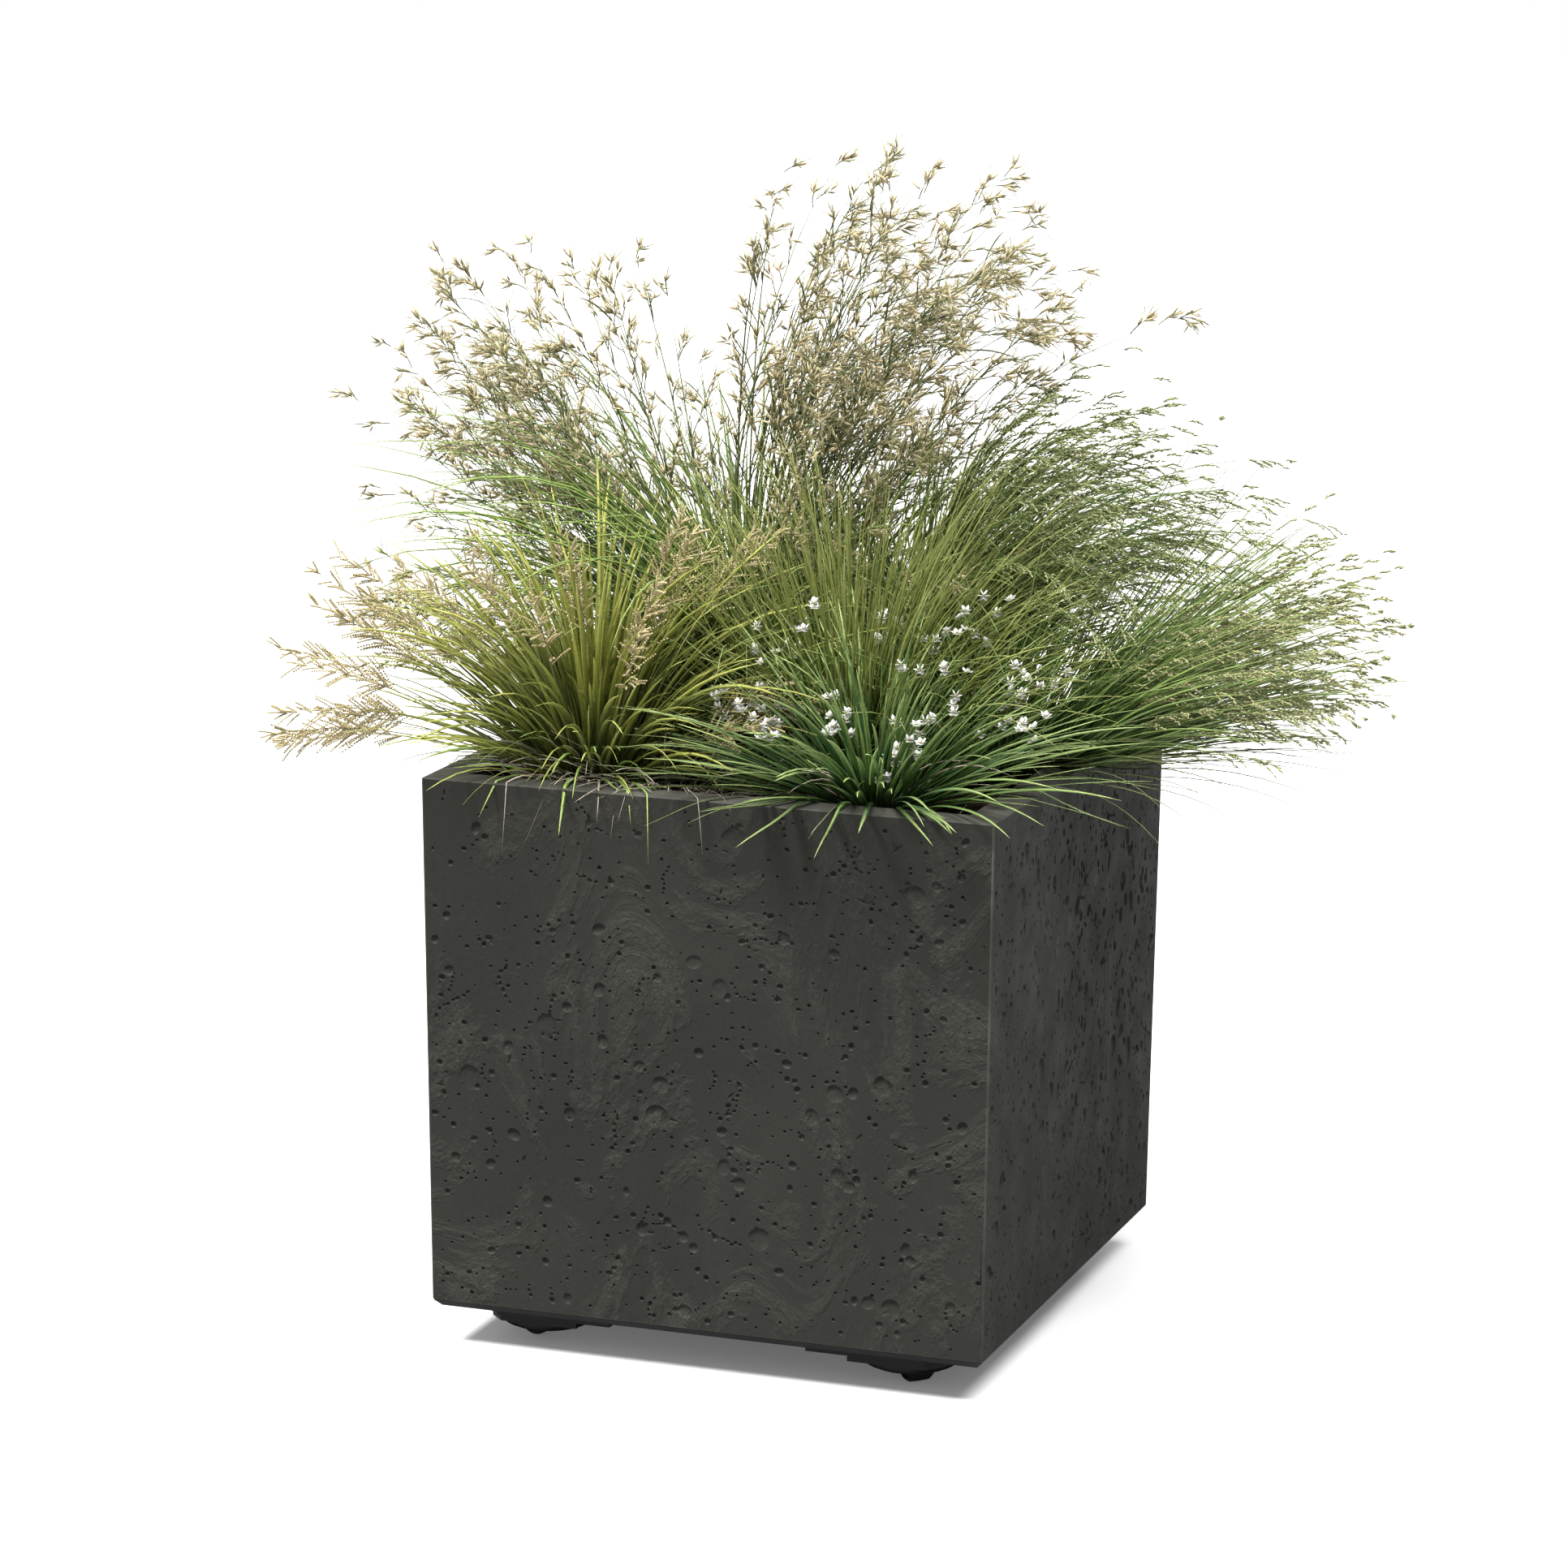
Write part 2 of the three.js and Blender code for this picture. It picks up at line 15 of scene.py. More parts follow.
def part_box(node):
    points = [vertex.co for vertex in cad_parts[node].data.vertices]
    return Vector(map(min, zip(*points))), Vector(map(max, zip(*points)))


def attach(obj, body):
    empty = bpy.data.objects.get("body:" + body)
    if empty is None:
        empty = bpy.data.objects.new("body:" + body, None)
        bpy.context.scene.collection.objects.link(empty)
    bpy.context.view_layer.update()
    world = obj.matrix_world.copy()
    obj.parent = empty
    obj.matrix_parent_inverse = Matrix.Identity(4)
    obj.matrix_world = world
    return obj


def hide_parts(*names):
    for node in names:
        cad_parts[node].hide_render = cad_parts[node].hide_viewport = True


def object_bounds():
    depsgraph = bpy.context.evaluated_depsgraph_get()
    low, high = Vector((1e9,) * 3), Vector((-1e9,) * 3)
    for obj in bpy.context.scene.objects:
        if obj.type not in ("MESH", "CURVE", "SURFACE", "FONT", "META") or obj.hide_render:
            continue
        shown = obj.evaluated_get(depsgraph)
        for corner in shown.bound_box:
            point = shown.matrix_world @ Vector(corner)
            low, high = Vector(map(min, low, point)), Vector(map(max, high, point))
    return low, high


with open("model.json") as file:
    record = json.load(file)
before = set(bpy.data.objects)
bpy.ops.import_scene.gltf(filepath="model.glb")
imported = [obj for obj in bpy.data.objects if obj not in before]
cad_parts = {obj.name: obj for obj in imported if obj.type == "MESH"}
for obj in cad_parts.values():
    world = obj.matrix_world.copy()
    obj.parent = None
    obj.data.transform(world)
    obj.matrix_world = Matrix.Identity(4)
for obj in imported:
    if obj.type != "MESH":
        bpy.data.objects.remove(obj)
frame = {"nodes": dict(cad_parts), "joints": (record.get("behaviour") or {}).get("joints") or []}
CAD_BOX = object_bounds()
MM = 0.001

# ---- Places read from the frame ------------------------------------------------------------------

SHELL_LOW, SHELL_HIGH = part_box("outer_shell")
SOIL_LOW, SOIL_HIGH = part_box("potting_soil")
LINER_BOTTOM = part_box("liner_pot")[0].z
RIM_HALF = SHELL_HIGH.x
RIM_TOP = SHELL_HIGH.z
SHELL_BOTTOM = SHELL_LOW.z
SOIL_TOP = SOIL_HIGH.z

# The same sizes as in the CAD model, where the frame's boxes don't give them.
SIDE_DRAFT = 3.9 * MM
SHELL_WALL = 4 * MM
SHELL_FLOOR = 6 * MM
RIM_WIDTH = 24 * MM
RIM_THICKNESS = 3.5 * MM
SKIRT_HEIGHT = 16 * MM
SKIRT_WALL = 3 * MM
LIP_BAND = 5.5 * MM
LINER_GAP = 0.3 * MM

# ---- Camera --------------------------------------------------------------------------------------

CAMERA_PLACE = Vector((1.19168, -3.38593, 1.12734))
CAMERA_TURN = 19.612  # degrees to the left of straight back
CAMERA_TILT = 11.965  # degrees downwards
CAMERA_ROLL = 0.415
CAMERA_LENS = 122.27


def make_camera():
    camera = bpy.data.objects.new("camera", bpy.data.cameras.new("camera"))
    bpy.context.scene.collection.objects.link(camera)
    turn, tilt, roll = (math.radians(a) for a in (CAMERA_TURN, CAMERA_TILT, CAMERA_ROLL))
    turned = Matrix.Rotation(turn, 4, "Z") @ Matrix.Rotation(math.pi / 2 - tilt, 4, "X")
    camera.matrix_world = Matrix.Translation(CAMERA_PLACE) @ turned @ Matrix.Rotation(roll, 4, "Z")
    camera.data.lens = CAMERA_LENS
    camera.data.sensor_width = 36
    camera.data.clip_end = 50
    bpy.context.scene.camera = camera


make_camera()

# ---- Material building ---------------------------------------------------------------------------


class Nodes:
    """A new material's node tree, with short calls for the nodes used here."""

    def __init__(self, name):
        self.material = bpy.data.materials.new(name)
        self.material.use_nodes = True
        self.tree = self.material.node_tree
        self.shader = self.tree.nodes["Principled BSDF"]

    def add(self, kind, inputs=None, **settings):
        node = self.tree.nodes.new(kind)
        for key, value in settings.items():
            setattr(node, key, value)
        for key, value in (inputs or {}).items():
            self.feed(node.inputs[key], value)
        return node

    def feed(self, socket, value):
        if isinstance(value, bpy.types.NodeSocket):
            self.tree.links.new(value, socket)
        else:
            socket.default_value = value

    def place(self, scale=(1, 1, 1), turn=(0, 0, 0)):
        """The object's own coordinates, in metres, stretched and turned."""
        coordinates = self.add("ShaderNodeTexCoord").outputs["Object"]
        mapping = self.add("ShaderNodeMapping", {"Vector": coordinates, "Scale": scale, "Rotation": turn})
        return mapping.outputs["Vector"]

    def noise(self, scale, detail=4, roughness=0.55, distortion=0.0, vector=None):
        inputs = {"Scale": scale, "Detail": detail, "Roughness": roughness, "Distortion": distortion}
        inputs["Vector"] = self.place() if vector is None else vector
        return self.add("ShaderNodeTexNoise", inputs).outputs["Fac"]

    def cells(self, scale):
        inputs = {"Scale": scale, "Vector": self.place()}
        return self.add("ShaderNodeTexVoronoi", inputs).outputs["Distance"]

    def ramp(self, value, stops):
        """Maps a value through (position, colour or grey) stops."""
        node = self.add("ShaderNodeValToRGB", {"Fac": value})
        elements = node.color_ramp.elements
        while len(elements) < len(stops):
            elements.new(0.5)
        for element, (position, colour) in zip(elements, stops, strict=True):
            element.position = position
            element.color = (*colour, 1) if isinstance(colour, tuple) else (colour, colour, colour, 1)
        return node.outputs["Color"]

    def mix(self, amount, low, high, blend="MIX"):
        node = self.add("ShaderNodeMix", data_type="RGBA", blend_type=blend)
        for name, value in (("Factor_Float", amount), ("A_Color", low), ("B_Color", high)):
            socket = next(s for s in node.inputs if s.identifier == name)
            self.feed(socket, (*value, 1) if isinstance(value, tuple) else value)
        return next(s for s in node.outputs if s.identifier == "Result_Color")

    def math(self, operation, first, second=0.0):
        node = self.add("ShaderNodeMath", operation=operation)
        self.feed(node.inputs[0], first)
        self.feed(node.inputs[1], second)
        return node.outputs[0]

    def attribute(self, name):
        return self.add("ShaderNodeAttribute", attribute_name=name).outputs["Fac"]

    def bump(self, height, distance, strength=1.0, after=None):
        inputs = {"Height": height, "Distance": distance, "Strength": strength}
        if after is not None:
            inputs["Normal"] = after
        return self.add("ShaderNodeBump", inputs).outputs["Normal"]

    def finish(self, colour, roughness, normal=None, **shader):
        self.feed(self.shader.inputs["Base Color"], colour)
        self.feed(self.shader.inputs["Roughness"], roughness)
        if normal is not None:
            self.feed(self.shader.inputs["Normal"], normal)
        for name, value in shader.items():
            self.feed(self.shader.inputs[name.replace("_", " ")], value)
        return self.material


def grey(level, warm=0.0):
    """A grey for a colour ramp, warmer or cooler by a share of its level."""
    return (level * (1 + warm), level, level * (1 - warm))


SHELL_GREYS = (0.019, 0.0235, 0.029, 0.068)  # the dark, middle and light clouds, and the pale swirls


def stone(level):
    """A dark grey with the shell's slight olive warmth."""
    return (level * 1.02, level, level * 0.85)


def concrete_effect(name, painted_light_lift=1.0, ripples=True):
    """Moulded anthracite plastic that imitates cast concrete: cloudy patches, pale swirls, fine grain. A lift
    above 1 makes a lighter copy, which is painted light.
    """
    n = Nodes(name)
    cloud = n.noise(6, detail=6, roughness=0.6, distortion=0.8)
    poured = n.place((1, 1, 0.55), (0.5, 0.6, 0.3))
    swirl = n.noise(9, detail=7, roughness=0.62, distortion=2.6, vector=poured)
    # A lift above 1 lightens every grey, as painted light.
    dark, middle, light, pale_grey = (stone(level * painted_light_lift) for level in SHELL_GREYS)
    colour = n.ramp(cloud, [(0.3, dark), (0.55, middle), (0.75, light)])
    pale = n.ramp(swirl, [(0.5, 0.0), (0.64, 0.55), (0.78, 1.0)])
    colour = n.mix(n.math("MULTIPLY", pale, 0.5), colour, pale_grey)
    speck = n.ramp(n.noise(420, detail=3, roughness=0.7), [(0.35, 0.78), (0.5, 1.0), (0.7, 1.16)])
    colour = n.mix(0.5, colour, speck, "MULTIPLY")
    normal = n.bump(n.noise(900, detail=2), 0.06 * MM, 0.5)
    normal = n.bump(n.noise(70, detail=5, roughness=0.6), 0.6 * MM, 0.5, normal)
    if ripples:
        rough_patch = n.ramp(swirl, [(0.52, 0.0), (0.64, 1.0)])
        flowed = n.place((1, 1, 0.6), (0.3, 0.5, 0.2))
        ripple = n.noise(190, detail=4, roughness=0.6, distortion=1.4, vector=flowed)
        normal = n.bump(n.math("MULTIPLY", ripple, rough_patch), 3.6 * MM, 0.75, normal)
    roughness = n.ramp(n.noise(34, detail=4), [(0.3, 0.52), (0.7, 0.7)])
    return n.finish(colour, roughness, normal, Specular_IOR_Level=0.16)


def moulded_plastic(name, level, roughness, grain=600):
    """Black injection-moulded plastic: fine spark-eroded grain, slight flow marks and dust."""
    n = Nodes(name)
    flow = n.noise(30, detail=3, distortion=1.2, vector=n.place((1, 1, 3)))
    dust = n.ramp(n.noise(55, detail=5, roughness=0.7), [(0.5, 0.0), (0.72, 1.0)])
    colour = n.ramp(flow, [(0.3, grey(level * 0.8)), (0.7, grey(level * 1.25))])
    colour = n.mix(n.math("MULTIPLY", dust, 0.12), colour, grey(level * 4, 0.05))
    rough = n.ramp(flow, [(0.3, roughness - 0.07), (0.7, roughness + 0.08)])
    normal = n.bump(n.noise(grain, detail=2), 0.08 * MM, 0.6)
    return n.finish(colour, rough, normal, Specular_IOR_Level=0.22)


def plated_steel(name):
    """Zinc-plated steel, drawn along its length."""
    n = Nodes(name)
    brushed = n.noise(260, detail=3, vector=n.place((1, 1, 0.08)))
    colour = n.ramp(brushed, [(0.3, grey(0.42, 0.02)), (0.7, grey(0.62, -0.01))])
    rough = n.ramp(brushed, [(0.3, 0.24), (0.7, 0.4)])
    return n.finish(colour, rough, n.bump(brushed, 0.04 * MM, 0.5), Metallic=1.0)


def earth(name):
    """Dark moist potting soil with crumbs and pale fibres."""
    n = Nodes(name)
    patch = n.noise(45, detail=6, roughness=0.65)
    moist, damp, dry = (0.010, 0.0065, 0.004), (0.030, 0.019, 0.011), (0.062, 0.042, 0.026)
    colour = n.ramp(patch, [(0.3, moist), (0.55, damp), (0.72, dry)])
    strands = n.noise(160, detail=4, distortion=2, vector=n.place((1, 3, 1)))
    fibre = n.ramp(strands, [(0.62, 0.0), (0.7, 1.0)])
    colour = n.mix(n.math("MULTIPLY", fibre, 0.45), colour, (0.16, 0.11, 0.06))
    normal = n.bump(n.cells(330), 1.6 * MM, 0.8, n.bump(n.noise(700, detail=3), 0.5 * MM, 0.7))
    return n.finish(colour, n.ramp(patch, [(0.3, 0.85), (0.7, 0.98)]), normal, Specular_IOR_Level=0.25)


def leaf(name, root, middle, tip, other, speckle=0.25):
    """A grass leaf: coloured from root to tip, tinted blade by blade, with fine veins along it. A dark root
    colour is painted shade low in the clump, and a darker second colour is partly painted shade.
    """
    n = Nodes(name)
    along = n.attribute("along")
    tint = n.attribute("tint")
    main = n.ramp(along, [(0.0, root), (0.4, middle), (1.0, tip)])
    second = n.ramp(along, [(0.0, root), (0.45, other), (1.0, tip)])
    # Blade by blade towards the second colour: partly the blades' own variety, partly painted shade between the
    # plants.
    colour = n.mix(tint, main, second)
    veins = n.noise(900, detail=2, vector=n.place((1, 1, 0.2)))
    shade = n.ramp(veins, [(0.3, 1 - speckle), (0.7, 1 + speckle)])
    colour = n.mix(1.0, colour, shade, "MULTIPLY")
    rough = n.ramp(tint, [(0.0, 0.42), (1.0, 0.6)])
    normal = n.bump(veins, 0.1 * MM, 0.4)
    return n.finish(colour, rough, normal, Specular_IOR_Level=0.35)


def studio_floor(name):
    """White board that stays bright in the picture and sends little light back up."""
    n = Nodes(name)
    cloud = n.noise(1.2, detail=2)
    seen = n.add("ShaderNodeLightPath").outputs["Is Camera Ray"]
    colour = n.mix(seen, grey(0.3), n.ramp(cloud, [(0.3, grey(0.93)), (0.7, grey(0.95))]))
    glow = n.math("MULTIPLY", seen, 0.12)
    return n.finish(colour, n.ramp(cloud, [(0.3, 0.2), (0.7, 0.24)]), Specular_IOR_Level=0.5,
                    Emission_Color=(1, 1, 1, 1), Emission_Strength=glow)


MAT = {
    "shell": concrete_effect("concrete_effect"),
    # The lip copy is 2.2 times as light: painted light on the rim's top, which also lightens the rim's inside and
    # the shell's foot.
    "lip": concrete_effect("concrete_effect_lip", painted_light_lift=2.2, ripples=False),
    # The edge copy is twice as light: a painted highlight along the rim's outer edge and the upright corners.
    "edge": concrete_effect("concrete_effect_painted_edge_highlight", painted_light_lift=2.0, ripples=False),
    "black": moulded_plastic("black_moulded", 0.006, 0.46),
    "wheel": moulded_plastic("wheel_nylon", 0.02, 0.38, grain=900),
    "steel": plated_steel("plated_steel"),
    "liner": moulded_plastic("liner_moulded", 0.035, 0.55),
    "soil": earth("potting_earth"),
}

# ---- Mesh building -------------------------------------------------------------------------------


def place_piece(name, mesh, body, node=None):
    """A mesh as a piece that rides on a CAD body and may stand for a CAD node."""
    piece = bpy.data.objects.new(name, mesh)
    bpy.context.scene.collection.objects.link(piece)
    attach(piece, body)
    if node:
        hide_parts(node)
    return piece


def new_object(name, vertices, faces, materials, body, node):
    """A smooth piece from vertices and faces of any number of corners."""
    mesh = bpy.data.meshes.new(name)
    mesh.from_pydata([tuple(v) for v in vertices], [], [tuple(int(i) for i in f) for f in faces])
    mesh.update()
    mesh.shade_smooth()
    for material in materials:
        mesh.materials.append(material)
    return place_piece(name, mesh, body, node)


# ---- Outer shell ---------------------------------------------------------------------------------

CORNER_STEPS = 4
CORNER_RADIUS = 1.3 * MM
TOP_BEVEL = 0.8 * MM
INSIDE_RADIUS = 4 * MM
SKIRT_RADIUS = 3 * MM
SKIRT_EDGE = 0.6 * MM
MOUTH_RADIUS = 1.4 * MM
MOUTH_EDGE = 1.0 * MM
# The second and third are lighter copies of the first: painted light on the rim and a painted highlight on its
# edges.
PITTED, PAINTED_LIGHT_LIP, PAINTED_HIGHLIGHT = range(3)  # the shell's materials

WALL_RUN = 1.1 * MM  # how far a pit's wall runs inwards
WALL_SHARE = 0.55  # or this share of a small pit's radius
SLUMP = math.radians(58)  # the side of a large pit that is deepest
SLUMPED_RADIUS = 6 * MM  # from here up a pit is half filled on its other side
RING_STEP = 0.8 * MM  # between points round a pit
SMALLEST_RING = 0.25 * MM
FACE_MARGIN = 4.5 * MM  # kept plain along a face's borders
FOOT_MARGIN = 2 * MM
TOP_MARGIN = 3 * MM
MESH_CLEARANCE = 0.45 * MM  # the least distance between two points of a face
FACE_SEED = 11

# How many pits a face has, their smallest and largest radius and depth in mm, and how many more a
# streaked face has.
PIT_SIZES = [
    (14, 5.0, 8.6, 2.1, 0),
    (56, 2.6, 4.8, 2.2, 0),
    (210, 1.4, 2.6, 2.1, 1),
    (700, 0.75, 1.4, 1.6, 2),
]
STREAK_WIDENING = 0.8
STREAKS = (0.0, 0.25)  # of the faces along Y, which are seen square on, and along X
CHAINS = 26
GOUGES = 22


def half_at(z):
    """The shell's outer half-width at a height."""
    return RIM_HALF - SIDE_DRAFT * (RIM_TOP - z) / (RIM_TOP - SHELL_BOTTOM)


def square_ring(half, radius, z):
    """A square outline with round corners, the same number of points for any size."""
    points = []
    for corner in range(4):
        start = math.pi / 2 * corner
        centre_angle = start + math.pi / 4
        reach = (half - radius) * math.sqrt(2)
        centre = Vector((reach * math.cos(centre_angle), reach * math.sin(centre_angle), z))
        for step in range(CORNER_STEPS + 1):
            angle = start + math.pi / 2 * step / CORNER_STEPS
            points.append(centre + Vector((radius * math.cos(angle), radius * math.sin(angle), 0)))
    return points


class Pits:
    """The blow-holes and craters of one face, each with a place, size, stretch, turn and depth."""

    def __init__(self, rng, half, low, high, streak):
        self.rng, self.half, self.low, self.high, self.streak = rng, half, low, high, streak
        self.rows = []

    def add(self, u, v, radius, depth, stretch=1.0, turn=0.0):
        reach = radius * stretch + 1.2 * MM
        inside = abs(u) < self.half - FACE_MARGIN - reach * 0.6
        if inside and self.low + FACE_MARGIN + reach * 0.4 < v < self.high - LIP_BAND - reach * 0.7:
            self.rows.append((u, v, radius, depth, stretch, turn))

    def anywhere(self):
        return self.rng.uniform(-self.half, self.half), self.rng.uniform(self.low, self.high)

    def scatter(self, count, smallest, largest, depth):
        for _ in range(count):
            u, v = self.anywhere()
            radius = self.rng.uniform(smallest, largest)
            stretch = 1 + self.rng.random() * (0.35 + self.streak)
            turn = math.pi / 2 if self.streak and self.rng.random() < 0.7 else self.rng.uniform(0, math.pi)
            self.add(u, v, radius, depth * self.rng.uniform(0.75, 1.2), stretch, turn)

    def chain(self, count):
        """A short wandering row of small pits, as air leaves along a mould's face."""
        u, v = self.anywhere()
        heading = self.rng.uniform(0, 2 * math.pi)
        for _ in range(count):
            radius = self.rng.uniform(0.9, 1.7) * MM
            self.add(u, v, radius, 1.5 * MM, self.rng.uniform(1, 1.5), heading)
            heading += self.rng.uniform(-0.7, 0.7)
            step = radius * self.rng.uniform(2.3, 3.6)
            u += step * math.cos(heading)
            v += step * math.sin(heading)

    def gouge(self):
        u, v = self.anywhere()
        turn = self.rng.uniform(0, math.pi)
        self.add(u, v, self.rng.uniform(0.8, 1.3) * MM, 1.1 * MM, self.rng.uniform(2.5, 4.5), turn)

    def heights(self, points):
        """How deep the face is at each point: a flat floor, a steep wall and a sharp edge."""
        total = np.zeros(len(points))
        for u, v, radius, depth, stretch, turn in self.rows:
            du, dv = points[:, 0] - u, points[:, 1] - v
            along = du * math.cos(turn) + dv * math.sin(turn)
            across = -du * math.sin(turn) + dv * math.cos(turn)
            r = np.hypot(along / stretch, across) / radius
            wall = np.clip((1 - r) * radius / min(WALL_SHARE * radius, WALL_RUN), 0, 1)
            upper = (du * math.cos(SLUMP) + dv * math.sin(SLUMP)) / (radius * stretch)
            fill = min(radius / SLUMPED_RADIUS, 1) * 0.5
            total = np.minimum(total, -depth * wall * wall * (3 - 2 * wall) * (1 - fill + fill * upper))
        return total

    def ring_points(self):
        """Mesh points for each pit, the largest first: its middle and rings down its wall."""
        for u, v, radius, _, stretch, turn in sorted(self.rows, key=lambda row: -row[2]):
            count = int(min(40, max(10, 2 * math.pi * radius / RING_STEP)))
            yield u, v
            wall = min(WALL_SHARE, WALL_RUN / radius)
            for share in [1.0] + [1 - run * wall for run in (0.3, 0.6, 1.0)] + [0.3]:
                if share * radius < SMALLEST_RING:
                    continue
                for step in range(count):
                    angle = 2 * math.pi * (step + (share * 10 % 2) / 2) / count
                    a, b = radius * stretch * share * math.cos(angle), radius * share * math.sin(angle)
                    yield (u + a * math.cos(turn) - b * math.sin(turn),
                           v + a * math.sin(turn) + b * math.cos(turn))


def face_pits(seed, streak):
    """A face's pits from the largest to the smallest, then its chains and gouges."""
    pits = Pits(np.random.default_rng(seed), RIM_HALF, SHELL_BOTTOM, RIM_TOP, streak)
    for count, smallest, largest, depth, more in PIT_SIZES:
        wide = 1 + STREAK_WIDENING * streak if more else 1
        pits.scatter(int(count * (1 + more * streak)), *(size * wide * MM for size in (smallest, largest, depth)))
    for _ in range(CHAINS):
        pits.chain(int(pits.rng.integers(3, 9)))
    for _ in range(GOUGES):
        pits.gouge()
    return pits


def pitted_face(seed, streak, corners):
    """Triangles of one face between its four corners: 2D points, their depths and which are the corners."""
    pits = face_pits(seed, streak)
    taken = set()
    points = [tuple(corner) for corner in corners]
    for u, v in pits.ring_points():
        if abs(u) > half_at(v) - FACE_MARGIN / 2 or not SHELL_BOTTOM + FOOT_MARGIN < v < RIM_TOP - TOP_MARGIN:
            continue
        cell = (round(u / MESH_CLEARANCE), round(v / MESH_CLEARANCE))
        if cell not in taken:
            taken.add(cell)
            points.append((u, v))
    edges = [(0, 1), (1, 2), (2, 3), (3, 0)]
    found = delaunay_2d_cdt([Vector(p) for p in points], edges, [], 1, 1e-7, False)
    flat = np.array([tuple(p) for p in found[0]])
    depth = pits.heights(flat)
    corner_index = [int(np.argmin(np.hypot(*(flat - corner).T))) for corner in corners]
    depth[corner_index] = 0
    return flat, depth, [tuple(face) for face in found[2]], corner_index


def shell_rings():
    """Outlines of the folded rim, inside and foot: half-width, corner radius and height of each."""
    floor_top = LINER_BOTTOM - LINER_GAP
    recess_top = floor_top - SHELL_FLOOR
    opening = RIM_HALF - RIM_WIDTH
    underside = RIM_TOP - RIM_THICKNESS
    skirt_bottom = underside - SKIRT_HEIGHT

    def mouth(inset, height):
        return opening + inset, MOUTH_RADIUS + inset, height

    return [
        (half_at(floor_top) - SHELL_WALL, INSIDE_RADIUS, floor_top),
        (half_at(underside) - SHELL_WALL, INSIDE_RADIUS, underside),
        (opening + SKIRT_WALL, SKIRT_RADIUS, underside),
        (opening + SKIRT_WALL, SKIRT_RADIUS, skirt_bottom + SKIRT_EDGE),
        (opening + SKIRT_WALL - SKIRT_EDGE, SKIRT_RADIUS - SKIRT_EDGE, skirt_bottom),
        mouth(0.5 * MM, skirt_bottom),
        mouth(0, skirt_bottom + SKIRT_EDGE),
        mouth(0, RIM_TOP - MOUTH_EDGE),
        mouth(MOUTH_EDGE * 0.3, RIM_TOP - MOUTH_EDGE * 0.3),
        mouth(MOUTH_EDGE, RIM_TOP),
        (RIM_HALF - TOP_BEVEL, CORNER_RADIUS, RIM_TOP),
        (RIM_HALF - TOP_BEVEL * 0.3, CORNER_RADIUS, RIM_TOP - TOP_BEVEL * 0.3),
        (half_at(RIM_TOP - TOP_BEVEL), CORNER_RADIUS, RIM_TOP - TOP_BEVEL),
        (half_at(SHELL_BOTTOM + TOP_BEVEL), CORNER_RADIUS, SHELL_BOTTOM + TOP_BEVEL),
        (half_at(SHELL_BOTTOM) - TOP_BEVEL * 0.5, CORNER_RADIUS, SHELL_BOTTOM),
        (half_at(SHELL_BOTTOM) - SHELL_WALL, CORNER_RADIUS, SHELL_BOTTOM),
        (half_at(recess_top) - SHELL_WALL, CORNER_RADIUS, recess_top),
    ]


OUTSIDE = 12  # the ring that the pitted faces hang from
# These bands take the edge copy, which is a painted highlight.
PAINTED_HIGHLIGHT_BANDS = (10, 11, OUTSIDE)  # the rim's outer edge and the upright corners
ROUND_BANDS = (7, 8, *PAINTED_HIGHLIGHT_BANDS)  # and the rim's inner edge


